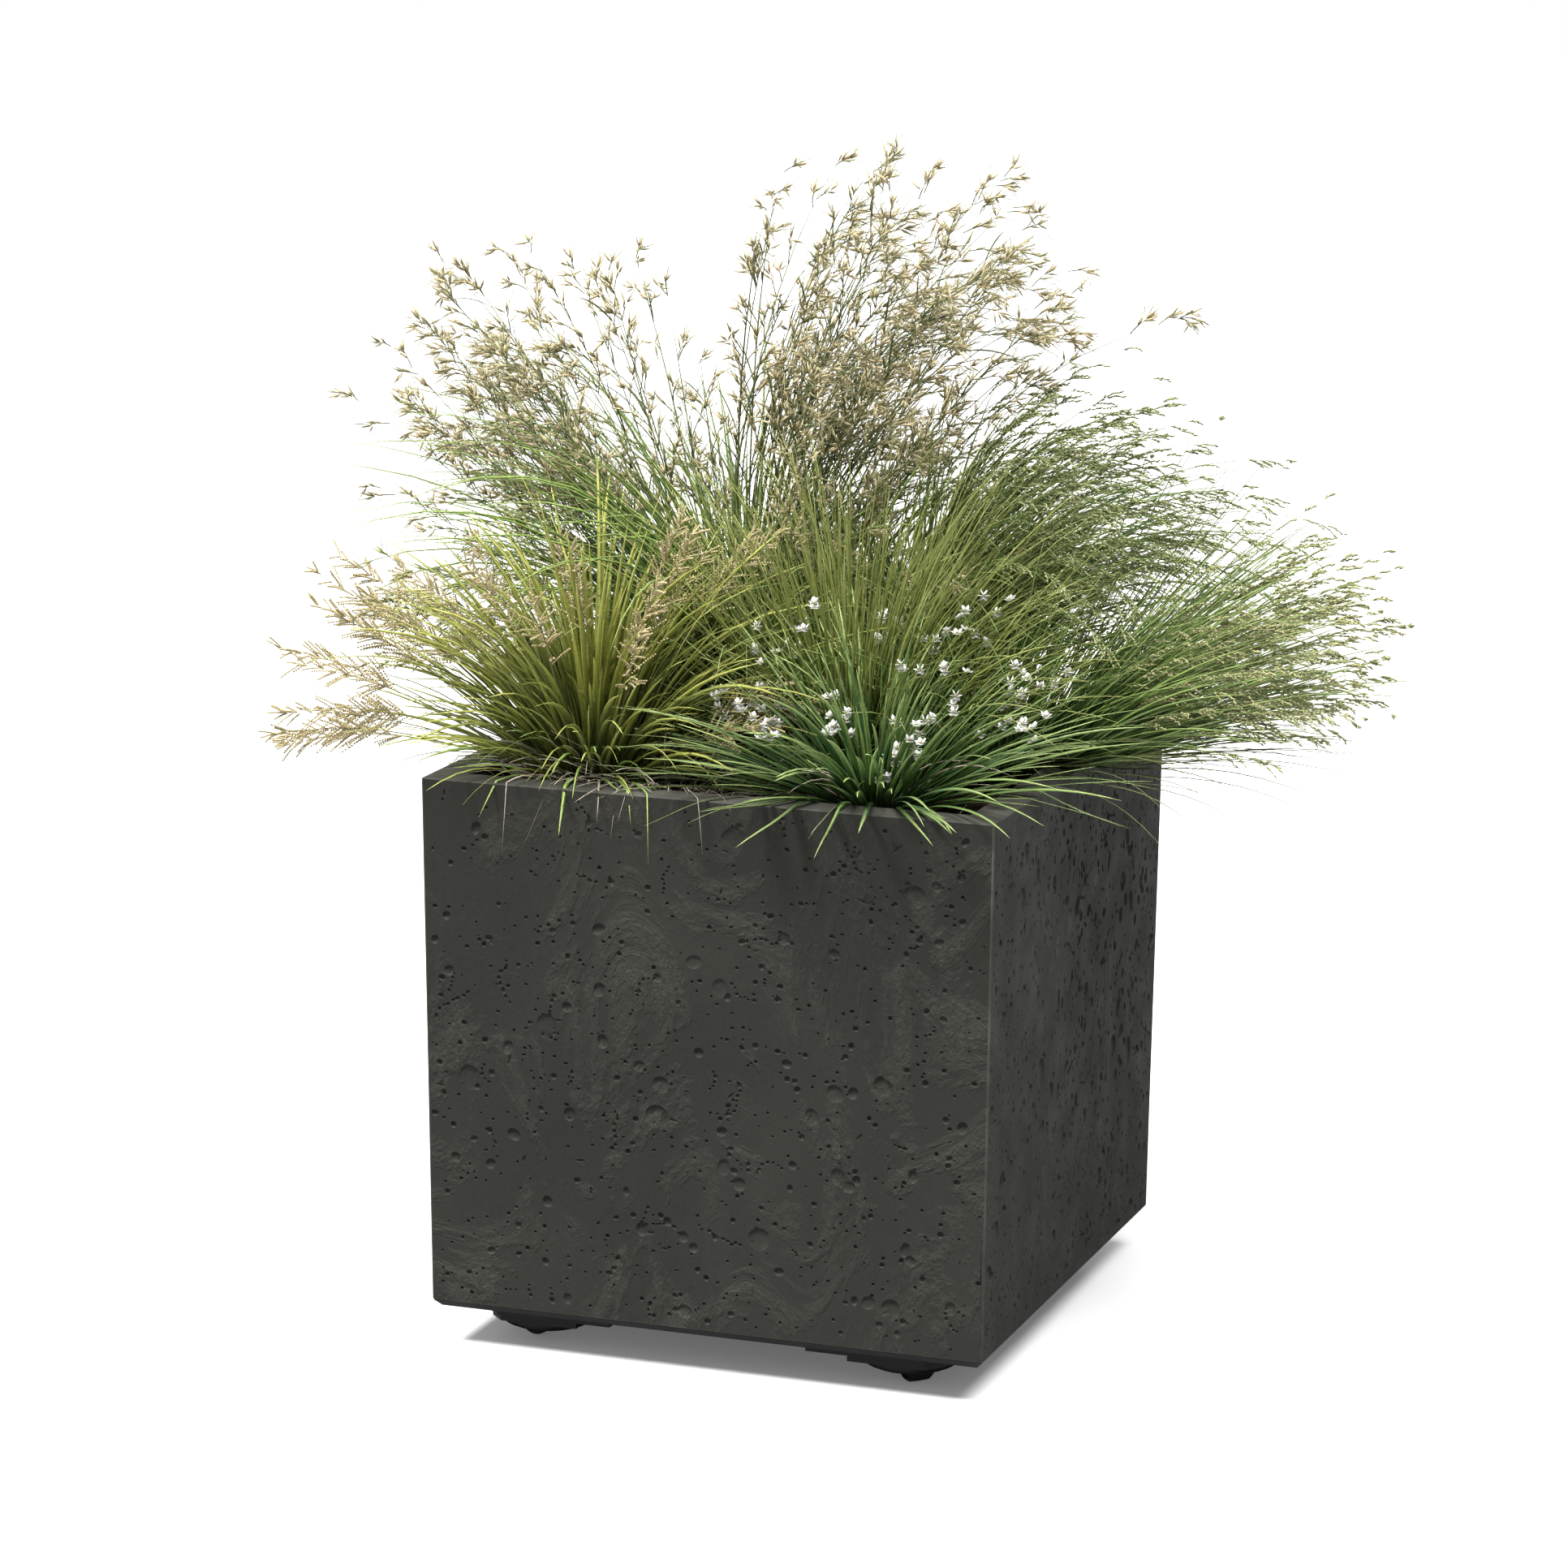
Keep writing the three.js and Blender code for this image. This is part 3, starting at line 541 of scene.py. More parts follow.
class Shell:
    """The whole shell as one closed mesh: bands between rings, and pitted faces outside."""

    def __init__(self):
        self.vertices, self.faces, self.finish, self.smooth = [], [], [], []

    def add(self, face, finish, smooth):
        self.faces.append(face)
        self.finish.append(finish)
        self.smooth.append(smooth)

    def bands(self, rings):
        count = 4 * (CORNER_STEPS + 1)
        self.vertices = [point for ring in rings for point in square_ring(*ring)]
        self.add(tuple(range(count)), PAINTED_LIGHT_LIP, False)
        for ring in range(len(rings) - 1):
            for step in range(count):
                if ring == OUTSIDE and step % (CORNER_STEPS + 1) == CORNER_STEPS:
                    continue
                ahead = (step + 1) % count
                base, above = ring * count, (ring + 1) * count
                self.add((base + step, above + step, above + ahead, base + ahead),
                         PAINTED_HIGHLIGHT if ring in PAINTED_HIGHLIGHT_BANDS else PAINTED_LIGHT_LIP, ring in ROUND_BANDS)
        last = (len(rings) - 1) * count
        self.add(tuple(last + step for step in reversed(range(count))), PAINTED_LIGHT_LIP, False)

    def side(self, number):
        """One pitted face. They look along +Y, -X, -Y and +X in the order that the rings pass them."""
        count = 4 * (CORNER_STEPS + 1)
        step = number * (CORNER_STEPS + 1) + CORNER_STEPS
        top = [OUTSIDE * count + step, OUTSIDE * count + (step + 1) % count]
        loop = [top[0], top[1], top[1] + count, top[0] + count]
        angle = math.pi / 2 * (number + 1)
        outward = Vector((math.cos(angle), math.sin(angle), 0))
        across = Vector((-outward.y, outward.x, 0))
        lean = Vector((outward.x, outward.y, -SIDE_DRAFT / (RIM_TOP - SHELL_BOTTOM))).normalized()
        corners = [(self.vertices[i].dot(across), self.vertices[i].z) for i in loop]
        flat, depth, triangles, found = pitted_face(FACE_SEED + number, STREAKS[number % 2], corners)
        index = {}
        for i, (point, down) in enumerate(zip(flat, depth, strict=True)):
            if i in found:
                index[i] = loop[found.index(i)]
                continue
            index[i] = len(self.vertices)
            place = across * point[0] + outward * half_at(point[1])
            place.z = point[1]
            self.vertices.append(place + lean * down)
        for triangle in triangles:
            ids = [index[i] for i in triangle]
            a, b, c = (self.vertices[i] for i in ids)
            if (b - a).cross(c - a).dot(outward) < 0:
                ids.reverse()
            self.add(tuple(ids), PITTED, any(depth[i] < -1e-6 for i in triangle))

    def build(self):
        self.bands(shell_rings())
        for number in range(4):
            self.side(number)
        # The lip and edge finishes are lighter copies of the shell's: painted light on the rim and a painted
        # highlight on its edges.
        finishes = [MAT["shell"], MAT["lip"], MAT["edge"]]
        piece = new_object("shell_weathered", self.vertices, self.faces, finishes, "root",
                           "outer_shell")
        piece.data.polygons.foreach_set("material_index", np.array(self.finish, np.int32))
        piece.data.polygons.foreach_set("use_smooth", np.array(self.smooth, bool))
        piece.data.update()


Shell().build()

# ---- Castor wheels -------------------------------------------------------------------------------


def lathe(profile, segments):
    """Vertices and quads of a closed profile of (radius, along) points turned about the Y axis."""
    vertices, faces = [], []
    count = len(profile)
    for turn in range(segments):
        angle = 2 * math.pi * turn / segments
        vertices += [(r * math.cos(angle), y, r * math.sin(angle)) for r, y in profile]
        ahead = (turn + 1) % segments
        for i in range(count):
            j = (i + 1) % count
            faces.append((turn * count + i, turn * count + j, ahead * count + j, ahead * count + i))
    return vertices, faces


# The same sizes as in the CAD model.
WHEEL_RADIUS = 12.5 * MM
WHEEL_HALF = 8.5 * MM
WHEEL_BORE = 2.4 * MM

TREAD_CROWN = 0.35 * MM
SHOULDER_ROUND = 1.3 * MM
SHOULDER_START = 0.78  # as a share of the half-width
GROOVE_DEPTH = 0.9 * MM
GROOVE_PLACE = 0.62
DISH_DEPTH = 1.4 * MM
HUB_SETBACK = 0.2 * MM
WHEEL_SEGMENTS = 56


def wheel_profile():
    tread = []
    for step in range(9):
        share = -1 + step / 4
        shoulder = SHOULDER_ROUND * max(0, abs(share) - SHOULDER_START) / (1 - SHOULDER_START)
        tread.append((WHEEL_RADIUS - TREAD_CROWN * share * share - shoulder, WHEEL_HALF * share))
    groove = [(WHEEL_RADIUS - GROOVE_DEPTH, side * WHEEL_HALF * GROOVE_PLACE) for side in (-1, 1)]
    outer = tread[:2] + [groove[0]] + tread[2:7] + [groove[1]] + tread[7:]
    floor, hub = WHEEL_HALF - DISH_DEPTH, WHEEL_HALF - HUB_SETBACK
    dish = [(WHEEL_RADIUS * share, along) for share, along in
            ((0.78, WHEEL_HALF), (0.72, floor), (0.42, floor), (0.36, hub))] + [(WHEEL_BORE, hub)]
    return outer + dish + [(radius, -along) for radius, along in reversed(dish)]


def build_wheel(corner, joint):
    """A nylon roller with a crowned tread, two shoulder grooves and dished sides with a raised hub."""
    vertices, faces = lathe(wheel_profile(), WHEEL_SEGMENTS)
    centre = Vector(joint["pos_m"])
    axis = Vector(joint["axis"])
    turned = axis.to_track_quat("Y", "Z").to_matrix()
    places = [centre + turned @ Vector(v) for v in vertices]
    piece = new_object(f"{corner}_roller_wheel", places, [tuple(reversed(f)) for f in faces], [MAT["wheel"]],
                       f"{corner}_roller", f"{corner}_wheel")
    piece.data.set_sharp_from_angle(angle=math.radians(32))


for joint in frame["joints"]:
    if joint["name"].endswith("_roll"):
        build_wheel(joint["name"][: -len("_roll")], joint)

# ---- Carried-over CAD pieces ---------------------------------------------------------------------


def dress(name, material, bevel):
    """A CAD node keeps its shape and gets a real material and slightly rounded edges."""
    piece = frame["nodes"][name]
    piece.data.materials.clear()
    piece.data.materials.append(material)
    rounding = piece.modifiers.new("rounded_edges", "BEVEL")
    rounding.width = bevel
    rounding.segments = 2
    rounding.limit_method = "ANGLE"
    rounding.angle_limit = math.radians(38)
    rounding.harden_normals = True


for name in frame["nodes"]:
    if name.endswith(("_mount", "_housing")) or name == "base_tray":
        dress(name, MAT["black"], 0.5 * MM)
    elif name == "liner_pot":
        dress(name, MAT["liner"], 0.6 * MM)
    elif name.endswith(("_kingpin", "_axle")) or "_screw" in name:
        dress(name, MAT["steel"], 0.2 * MM)

# ---- Soil ----------------------------------------------------------------------------------------

SOIL_CELLS = 120
SOIL_WAVES = ((14, 1.6), (60, 0.9), (220, 0.7))  # waves in a metre, and their height in mm
SOIL_GRAIN = 0.55  # mm
CYCLE = 6.28  # radians in a wave, near enough for soil
SOIL_SINK = 1.5  # mm that the uneven top lies below the soil's box
SOIL_EDGE = 6 * MM
SOIL_TAPER = 4.6 * MM  # from the top to the foot, on each side


def build_soil():
    """The soil block: an uneven crumbly top on plain sides."""
    rng = np.random.default_rng(3)
    half = SOIL_HIGH.x
    u = np.linspace(-half, half, SOIL_CELLS + 1)
    x, y = np.meshgrid(u, u)
    z = np.zeros_like(x)
    for waves, height in SOIL_WAVES:
        for _ in range(14):
            angle, phase = rng.uniform(0, 2 * math.pi, 2)
            pitch = waves * rng.uniform(0.7, 1.4)
            z += height / 5 * np.sin(pitch * CYCLE * (x * math.cos(angle) + y * math.sin(angle)) + phase)
    z += rng.normal(0, SOIL_GRAIN, z.shape)
    edge = np.clip((half - np.maximum(abs(x), abs(y))) / SOIL_EDGE, 0, 1)
    top = SOIL_TOP + MM * (z - SOIL_SINK) * edge - SOIL_SINK * MM
    n = SOIL_CELLS + 1
    places = [Vector(p) for p in zip(x.ravel(), y.ravel(), top.ravel(), strict=True)]
    faces = [(r * n + c, r * n + c + 1, (r + 1) * n + c + 1, (r + 1) * n + c)
             for r in range(SOIL_CELLS) for c in range(SOIL_CELLS)]
    rim = list(range(n)) + [r * n + n - 1 for r in range(1, n)]
    rim += [(n - 1) * n + c for c in range(n - 2, -1, -1)] + [r * n for r in range(n - 2, 0, -1)]
    low = len(places)
    shrink = (half - SOIL_TAPER) / half
    places += [Vector((places[i].x * shrink, places[i].y * shrink, SOIL_LOW.z)) for i in rim]
    for i in range(len(rim)):
        j = (i + 1) % len(rim)
        faces.append((rim[i], low + i, low + j, rim[j]))
    faces.append(tuple(low + i for i in reversed(range(len(rim)))))
    new_object("soil_fill", places, faces, [MAT["soil"]], "liner", "potting_soil")


build_soil()

# ---- Growing: paths, blades, grains --------------------------------------------------------------

UP = np.array([0.0, 0.0, 1.0])

# Leaves and heads may pass the CAD model's outer limits by a little.
MARGIN = 0.03 * (CAD_BOX[1] - CAD_BOX[0]) + Vector((6, 6, 6)) * MM
LOW_LIMIT, HIGH_LIMIT = np.array(CAD_BOX[0] - MARGIN), np.array(CAD_BOX[1] + MARGIN)

ROOT_DEPTH = 3 * MM
BRANCH_SPARE = 26 * MM  # room that a side branch leaves for its seeds
BED_EDGE = RIM_HALF - RIM_WIDTH - 12 * MM  # leaves rest on the soil inside this, and on the rim outside
RIM_LIFT = 2.2 * MM
RIM_REST = 1.5 * MM


def unit(vectors):
    return vectors / np.maximum(np.linalg.norm(vectors, axis=-1, keepdims=True), 1e-9)


def crown_of(node):
    """Where a clump grows: the middle of the CAD crown's foot."""
    places = np.array([v.co for v in frame["nodes"][node].data.vertices])
    foot = places[places[:, 2] < places[:, 2].min() + 0.5 * MM]
    return foot[:, 0].mean(), foot[:, 1].mean()


def over_the_rim(paths):
    """Lifts what would cross the rim so that it lies on it, and keeps it smooth."""
    for _ in range(3):
        reach = np.abs(paths[..., :2]).max(-1)
        on_rim = (reach > BED_EDGE) & (reach < RIM_HALF + 3 * MM)
        paths[..., 2] = np.where(on_rim, np.maximum(paths[..., 2], RIM_TOP + RIM_LIFT), paths[..., 2])
        over_soil = reach <= BED_EDGE
        paths[..., 2] = np.where(over_soil, np.maximum(paths[..., 2], SOIL_TOP - ROOT_DEPTH), paths[..., 2])
        paths[:, 1:-1, 2] = 0.25 * paths[:, :-2, 2] + 0.5 * paths[:, 1:-1, 2] + 0.25 * paths[:, 2:, 2]
    reach = np.abs(paths[..., :2]).max(-1)
    on_rim = (reach > RIM_HALF - RIM_WIDTH - 6 * MM) & (reach < RIM_HALF + 2 * MM)
    paths[..., 2] = np.where(on_rim, np.maximum(paths[..., 2], RIM_TOP + RIM_REST), paths[..., 2])
    return paths


def kept_inside(paths, spare):
    """Shrinks any path about its root that would pass the planter's own outer limits, less a spare."""
    root = paths[:, :1]
    out = paths - root
    factor = np.ones(len(paths))
    for axis in range(3):
        high = np.maximum(out[..., axis].max(1), 1e-6)
        low = np.minimum(out[..., axis].min(1), -1e-6)
        room_high = np.maximum(HIGH_LIMIT[axis] - spare - root[:, 0, axis], 1e-4)
        room_low = np.minimum(LOW_LIMIT[axis] + spare - root[:, 0, axis], -1e-4)
        factor = np.minimum(factor, np.minimum(room_high / high, room_low / low))
    return root + out * factor[:, None, None]


def at(paths, which, share):
    """Points and directions along chosen paths, share of the way from root to tip."""
    steps = paths.shape[1] - 1
    place = np.clip(share * steps, 0, steps - 1e-6)
    low = place.astype(int)
    mix = (place - low)[:, None]
    first, second = paths[which, low], paths[which, low + 1]
    return first * (1 - mix) + second * mix, unit(second - first)


def at_each(paths, share):
    """The point and direction on every path, the same share of the way along."""
    return at(paths, np.arange(len(paths)), np.full(len(paths), share))


class Plant:
    """A clump of one kind: its CAD node, its own random numbers and where it grows."""

    def __init__(self, node, seed):
        self.node = node
        self.rng = np.random.default_rng(seed)
        self.centre = crown_of(node)

    def grow(self, count, patch, length, tilt, bend, facing=(0, 180), wind=(0, 0), steps=9, power=1.5,
             spare=2, shift=(0, 0)):
        """Paths of leaves or stalks that rise from a patch and arch over.

        patch, spare and shift are in mm. tilt is the angle from upright at the root and bend what the
        tip adds, in degrees. facing is the middle and half-width of the directions they grow in, and
        wind pushes them all one way.
        """
        rng = self.rng
        around = (np.arange(count) + rng.uniform(0.1, 0.9, count)) / count * 2 - 1
        heading = np.radians(facing[0] + around * facing[1])
        away = np.stack([np.cos(heading), np.sin(heading), np.zeros(count)], -1)
        first = np.radians(rng.uniform(*tilt, count))
        more = np.radians(rng.uniform(*bend, count))
        size = rng.uniform(*length, count)
        outer = 0.35 + 0.65 * first / max(math.radians(tilt[1]), 0.01)
        spread = patch * MM * np.sqrt(rng.uniform(0, 1, count)) * outer
        middle = [self.centre[0] + shift[0] * MM, self.centre[1] + shift[1] * MM, SOIL_TOP - ROOT_DEPTH]
        start = np.array(middle) + away * spread[:, None]
        share = np.linspace(0, 1, steps)
        lean = first[:, None] + more[:, None] * share[None] ** power
        wobble = rng.normal(0, 0.05, (count, 1)) + rng.normal(0, 0.08, (count, 1)) * share
        sideways = np.cross(UP, away)
        blow = np.array([wind[0], wind[1], 0.0])
        step = (np.sin(lean)[..., None] * away[:, None] + np.cos(lean)[..., None] * UP
                + wobble[..., None] * sideways[:, None] + share[None, :, None] ** 1.3 * blow)
        step = unit(step) * (size / (steps - 1))[:, None, None]
        paths = np.concatenate([start[:, None], start[:, None] + np.cumsum(step[:, :-1], 1)], 1)
        return kept_inside(paths, spare * MM)

    def branches(self, paths, each, start, length, splay, droop, reach=1.0, steps=4):
        """Fine side branches on the upper part of each stalk, leaning along it and drooping."""
        rng = self.rng
        which = np.repeat(np.arange(len(paths)), each)
        share = rng.uniform(start, reach, len(which))
        root, ahead = at(paths, which, share)
        out = unit(rng.normal(0, 1, (len(which), 3)))
        out = unit(out - (out * ahead).sum(-1, keepdims=True) * ahead)
        size = rng.uniform(*length, len(which)) * (1.25 - share)
        along = np.linspace(0, 1, steps)[None, :, None]
        heading = unit(ahead * (1 - splay) + out * splay)[:, None]
        size = size[:, None, None]
        path = root[:, None] + heading * along * size - UP * droop * size * along**2
        return kept_inside(path, BRANCH_SPARE)


class Bunch:
    """Triangles of many blades and grains, with where each lies along its plant and its tint.

    Widths and grain lengths are in mm, and each is a number or a (low, high) range to draw from.
    """

    def __init__(self, plant):
        self.plant, self.rng = plant, plant.rng
        self.vertices, self.faces, self.along, self.tint, self.total = [], [], [], [], 0

    def amounts(self, value, count):
        return self.rng.uniform(*value, count) if isinstance(value, tuple) else np.broadcast_to(value, count)

    def add(self, vertices, faces, along, tint):
        self.vertices.append(vertices.reshape(-1, 3))
        self.faces.append(faces.reshape(-1, 3) + self.total)
        self.along.append(np.broadcast_to(along, vertices.shape[:-1]).ravel())
        self.tint.append(np.broadcast_to(tint, vertices.shape[:-1]).ravel())
        self.total += vertices[..., 0].size

    def blades(self, paths, width, tip=0.04, twist=0.6, keel=0.16, along=(0.0, 1.0), waist=0.55):
        """Tapered leaves of three-sided section along each path, flat above and keeled below."""
        rng = self.rng
        count, steps = paths.shape[:2]
        width = self.amounts(width, count) * MM
        share = np.linspace(0, 1, steps)
        fullness = (waist + (1 - waist) * np.sin(np.minimum(share / 0.35, 1) * math.pi / 2))
        fullness *= np.maximum(1 - share**2.4, 0) ** 0.75
        fullness = np.maximum(fullness, tip)
        across = (width[:, None] * fullness)[..., None]
        tangent = unit(np.gradient(paths, axis=1))
        chord = paths[:, -1] - paths[:, 0]
        level = unit(np.cross(UP, chord) + 1e-6)[:, None]
        side = unit(level - (level * tangent).sum(-1, keepdims=True) * tangent)
        normal = np.cross(tangent, side)
        angle = rng.normal(0, twist, count)[:, None] + rng.normal(0, twist, count)[:, None] * share
        angle = angle[..., None]
        side, normal = (side * np.cos(angle) + normal * np.sin(angle),
                        normal * np.cos(angle) - side * np.sin(angle))
        ring = np.stack([paths + side * across / 2, paths - side * across / 2,
                         paths - normal * (across * keel + 0.05 * MM)], 2)
        first = (np.arange(count)[:, None] * steps + np.arange(steps - 1)[None]) * 3
        faces = []
        for a, b in ((0, 1), (1, 2), (2, 0)):
            faces += [np.stack([first + a, first + b, first + b + 3], -1),
                      np.stack([first + a, first + b + 3, first + a + 3], -1)]
        ends = np.arange(count) * steps * 3
        last = ends + (steps - 1) * 3
        faces += [np.stack([ends, ends + 2, ends + 1], -1), np.stack([last, last + 1, last + 2], -1)]
        faces = np.concatenate([f.reshape(-1, 3) for f in faces])
        # Each blade's tint, drawn towards both ends: partly the blades' own variety, partly painted shade between
        # the plants.
        shade = rng.beta(0.6, 0.6, count)
        low, high = along
        where = (low + (high - low) * share)[None, :, None] * np.ones((count, 1, 3))
        self.add(ring, faces, where, shade[:, None, None] * np.ones((1, steps, 3)))

    def tuft(self, count, patch, length, tilt, bend, width, twist=0.6, **shape):
        """Leaves that grow from a patch and lie over the rim."""
        paths = self.plant.grow(count, patch, length, tilt, bend, **shape)
        self.blades(over_the_rim(paths), width, twist=twist)

    def grains(self, centres, heading, length, width, along=0.5, belly=0.38):
        """Small pointed seeds, spikelets or bristles: four-sided spindles from centre along heading."""
        count = len(centres)
        heading = unit(heading)
        side = unit(np.cross(heading, UP + 0.01))
        other = np.cross(heading, side)
        length, width = (self.amounts(value, count)[:, None] * MM for value in (length, width))
        along = self.amounts(along, count)
        middle = centres + heading * length * belly
        waist = [middle + (side * math.cos(a) + other * math.sin(a)) * width / 2
                 for a in (0, math.pi / 2, math.pi, 3 * math.pi / 2)]
        vertices = np.stack([centres, *waist, centres + heading * length], 1)
        base = np.arange(count)[:, None] * 6
        faces = []
        for i in range(4):
            a, b = 1 + i, 1 + (i + 1) % 4
            faces += [base + np.array([0, b, a]), base + np.array([5, a, b])]
        shade = self.rng.uniform(0, 1, count)
        self.add(vertices, np.stack(faces, 1), along[:, None] * np.ones(6), shade[:, None] * np.ones(6))

    def spikelets(self, side, each, size, width, scatter):
        """Pointed spikelets along each side branch and at its tip, each with a fine awn."""
        for i in range(each):
            place, heading = at_each(side, min(0.45 + 0.3 * i, 0.999))
            heading = heading + self.rng.normal(0, scatter * (0.6 + 0.2 * i), place.shape)
            self.grains(place, heading, size, width, along=(0.55, 1.0))
            bent = heading + self.rng.normal(0, 0.35, place.shape)
            self.grains(place, bent, self.rng.uniform(1.2, 2.0, len(place)) * size[1], 0.5, along=0.6)

    def panicles(self, stalks, each, start, length, size, width, splay, seeds=7):
        """Loose heads of small seeds set along drooping side branches."""
        side = self.plant.branches(stalks, each, start, length, splay, 0.25)
        self.blades(side, 0.65, keel=0.6, along=(0.3, 0.6))
        for i in range(seeds):
            place, heading = at_each(side, (i + 0.7) / seeds)
            heading = heading + self.rng.normal(0, 0.22, heading.shape)
            self.grains(place, heading, size, width, along=(0.6, 1.0))

    def piece(self, name, finish, node=None):
        mesh = bpy.data.meshes.new(name)
        vertices, faces = np.concatenate(self.vertices), np.concatenate(self.faces)
        mesh.vertices.add(len(vertices))
        mesh.vertices.foreach_set("co", vertices.astype(np.float32).ravel())
        mesh.loops.add(3 * len(faces))
        mesh.loops.foreach_set("vertex_index", faces.astype(np.int32).ravel())
        mesh.polygons.add(len(faces))
        mesh.polygons.foreach_set("loop_start", np.arange(0, 3 * len(faces), 3, dtype=np.int32))
        mesh.polygons.foreach_set("use_smooth", np.full(len(faces), True))
        mesh.update()
        for key, values in (("along", self.along), ("tint", self.tint)):
            layer = mesh.attributes.new(key, "FLOAT", "POINT")
            layer.data.foreach_set("value", np.concatenate(values).astype(np.float32))
        mesh.materials.append(MAT[finish])
        place_piece(name, mesh, "liner", node)


# ---- The plants' colours: root, middle and tip, and another middle for some of the blades --------

# The dark root colours of the green leaves are painted shade low inside each clump.
PAINTED_SHADE_ROOT = (0.020, 0.026, 0.008)
# The darker other middles are partly the blades' own variety and partly painted shade between the plants.
LEAF_COLOURS = {
    "oat_leaf": ((0.035, 0.06, 0.014), (0.15, 0.26, 0.05), (0.31, 0.40, 0.12), (0.055, 0.12, 0.035)),
    "oat_head": ((0.06, 0.09, 0.03), (0.16, 0.20, 0.08), (0.56, 0.46, 0.28), (0.19, 0.17, 0.08)),
    "panic_leaf": (PAINTED_SHADE_ROOT, (0.12, 0.21, 0.05), (0.25, 0.34, 0.10), (0.045, 0.10, 0.035)),
    "panic_head": ((0.06, 0.11, 0.03), (0.13, 0.19, 0.06), (0.33, 0.34, 0.16), (0.10, 0.13, 0.05)),
    "feather_leaf": ((0.06, 0.075, 0.014), (0.23, 0.27, 0.055), (0.42, 0.44, 0.15), (0.10, 0.15, 0.035)),
    "sedge_leaf": (PAINTED_SHADE_ROOT, (0.24, 0.26, 0.05), (0.50, 0.52, 0.13), (0.09, 0.115, 0.028)),
    "fresh_leaf": ((0.07, 0.12, 0.02), (0.25, 0.42, 0.07), (0.42, 0.55, 0.16), (0.17, 0.32, 0.06)),
    "bead_head": ((0.12, 0.14, 0.05), (0.34, 0.30, 0.15), (0.52, 0.43, 0.24), (0.28, 0.24, 0.12)),
    "straw": ((0.25, 0.21, 0.14), (0.52, 0.46, 0.35), (0.56, 0.48, 0.38), (0.33, 0.28, 0.22)),
    "turf_leaf": ((0.03, 0.05, 0.014), (0.15, 0.26, 0.06), (0.40, 0.50, 0.19), (0.05, 0.125, 0.045)),
    "petal": ((0.60, 0.55, 0.25), (0.93, 0.93, 0.90), (0.95, 0.95, 0.93), (0.92, 0.92, 0.90)),
    "fountain_leaf": (PAINTED_SHADE_ROOT, (0.17, 0.28, 0.06), (0.36, 0.46, 0.16), (0.06, 0.13, 0.035)),
    "fountain_head": ((0.08, 0.14, 0.04), (0.18, 0.23, 0.08), (0.40, 0.38, 0.19), (0.13, 0.15, 0.06)),
    "hair": ((0.05, 0.07, 0.02), (0.11, 0.14, 0.05), (0.17, 0.17, 0.08), (0.07, 0.10, 0.035)),
}
SPECKLE = {"petal": 0.04}
for kind, colours in LEAF_COLOURS.items():
    MAT[kind] = leaf(kind, *colours, speckle=SPECKLE.get(kind, 0.25))

# ---- Tall oat grass: back left and centre --------------------------------------------------------

OAT_STALKS = [  # count, length in metres, tilt, bend, facing, wind
    (62, (0.38, 0.465), (-8, 14), (32, 72), (2, 62), (0.08, 0.0)),
    (24, (0.30, 0.39), (12, 28), (4, 30), (176, 50), (0.03, 0.0)),
    (24, (0.33, 0.42), (24, 42), (6, 30), (182, 30), (0.0, 0.0)),
    (16, (0.22, 0.31), (4, 30), (20, 60), (0, 70), (0.1, 0.0)),
]


def tall_oat_grass():
    plant = Plant("tall_oat_grass", 21)
    leaves = Bunch(plant)
    leaves.tuft(430, 42, (0.15, 0.31), (2, 36), (20, 110), (1.8, 3.2), steps=10)
    leaves.tuft(170, 40, (0.28, 0.41), (8, 34), (60, 118), (1.8, 2.9), facing=(180, 85), steps=12)
    leaves.piece("tall_oat_leaves", "oat_leaf", plant.node)

    heads = Bunch(plant)
    for count, length, tilt, bend, facing, wind in OAT_STALKS:
        stalks = plant.grow(count, 38, length, tilt, bend, facing, wind, steps=12, power=1.3, spare=34)
        heads.blades(stalks, (1.3, 1.8), keel=0.6, twist=0.2, along=(0.0, 0.35))
        side = plant.branches(stalks, 12, 0.48, (0.022, 0.055), 0.34, 0.22)
        heads.blades(side, 1.1, keel=0.6, along=(0.1, 0.4))
        heads.spikelets(side, 5, (8, 14), (1.4, 2.3), 0.42)
        # A few narrow leaves stand out from the stalks.
        spare = plant.branches(stalks, 5, 0.3, (0.05, 0.12), 0.32, 0.35, reach=0.9, steps=7)
        heads.blades(spare, (1.0, 1.8), along=(0.0, 0.3))
    heads.piece("tall_oat_heads", "oat_head")

    low = Bunch(plant)
    stalks = plant.grow(16, 38, (0.24, 0.31), (38, 56), (34, 62), facing=(196, 24), steps=12, spare=32)
    low.blades(over_the_rim(stalks), (0.9, 1.2), keel=0.6, along=(0.1, 0.5))
    side = plant.branches(stalks, 12, 0.6, (0.02, 0.04), 0.4, 0.2)
    low.blades(side, 0.45, keel=0.6, along=(0.3, 0.5))
    low.spikelets(side, 3, (7, 11), (1.1, 1.8), 0.35)
    low.piece("tall_oat_low_heads", "panic_head")


# ---- Green panic grass: back centre, swept to the right ------------------------------------------


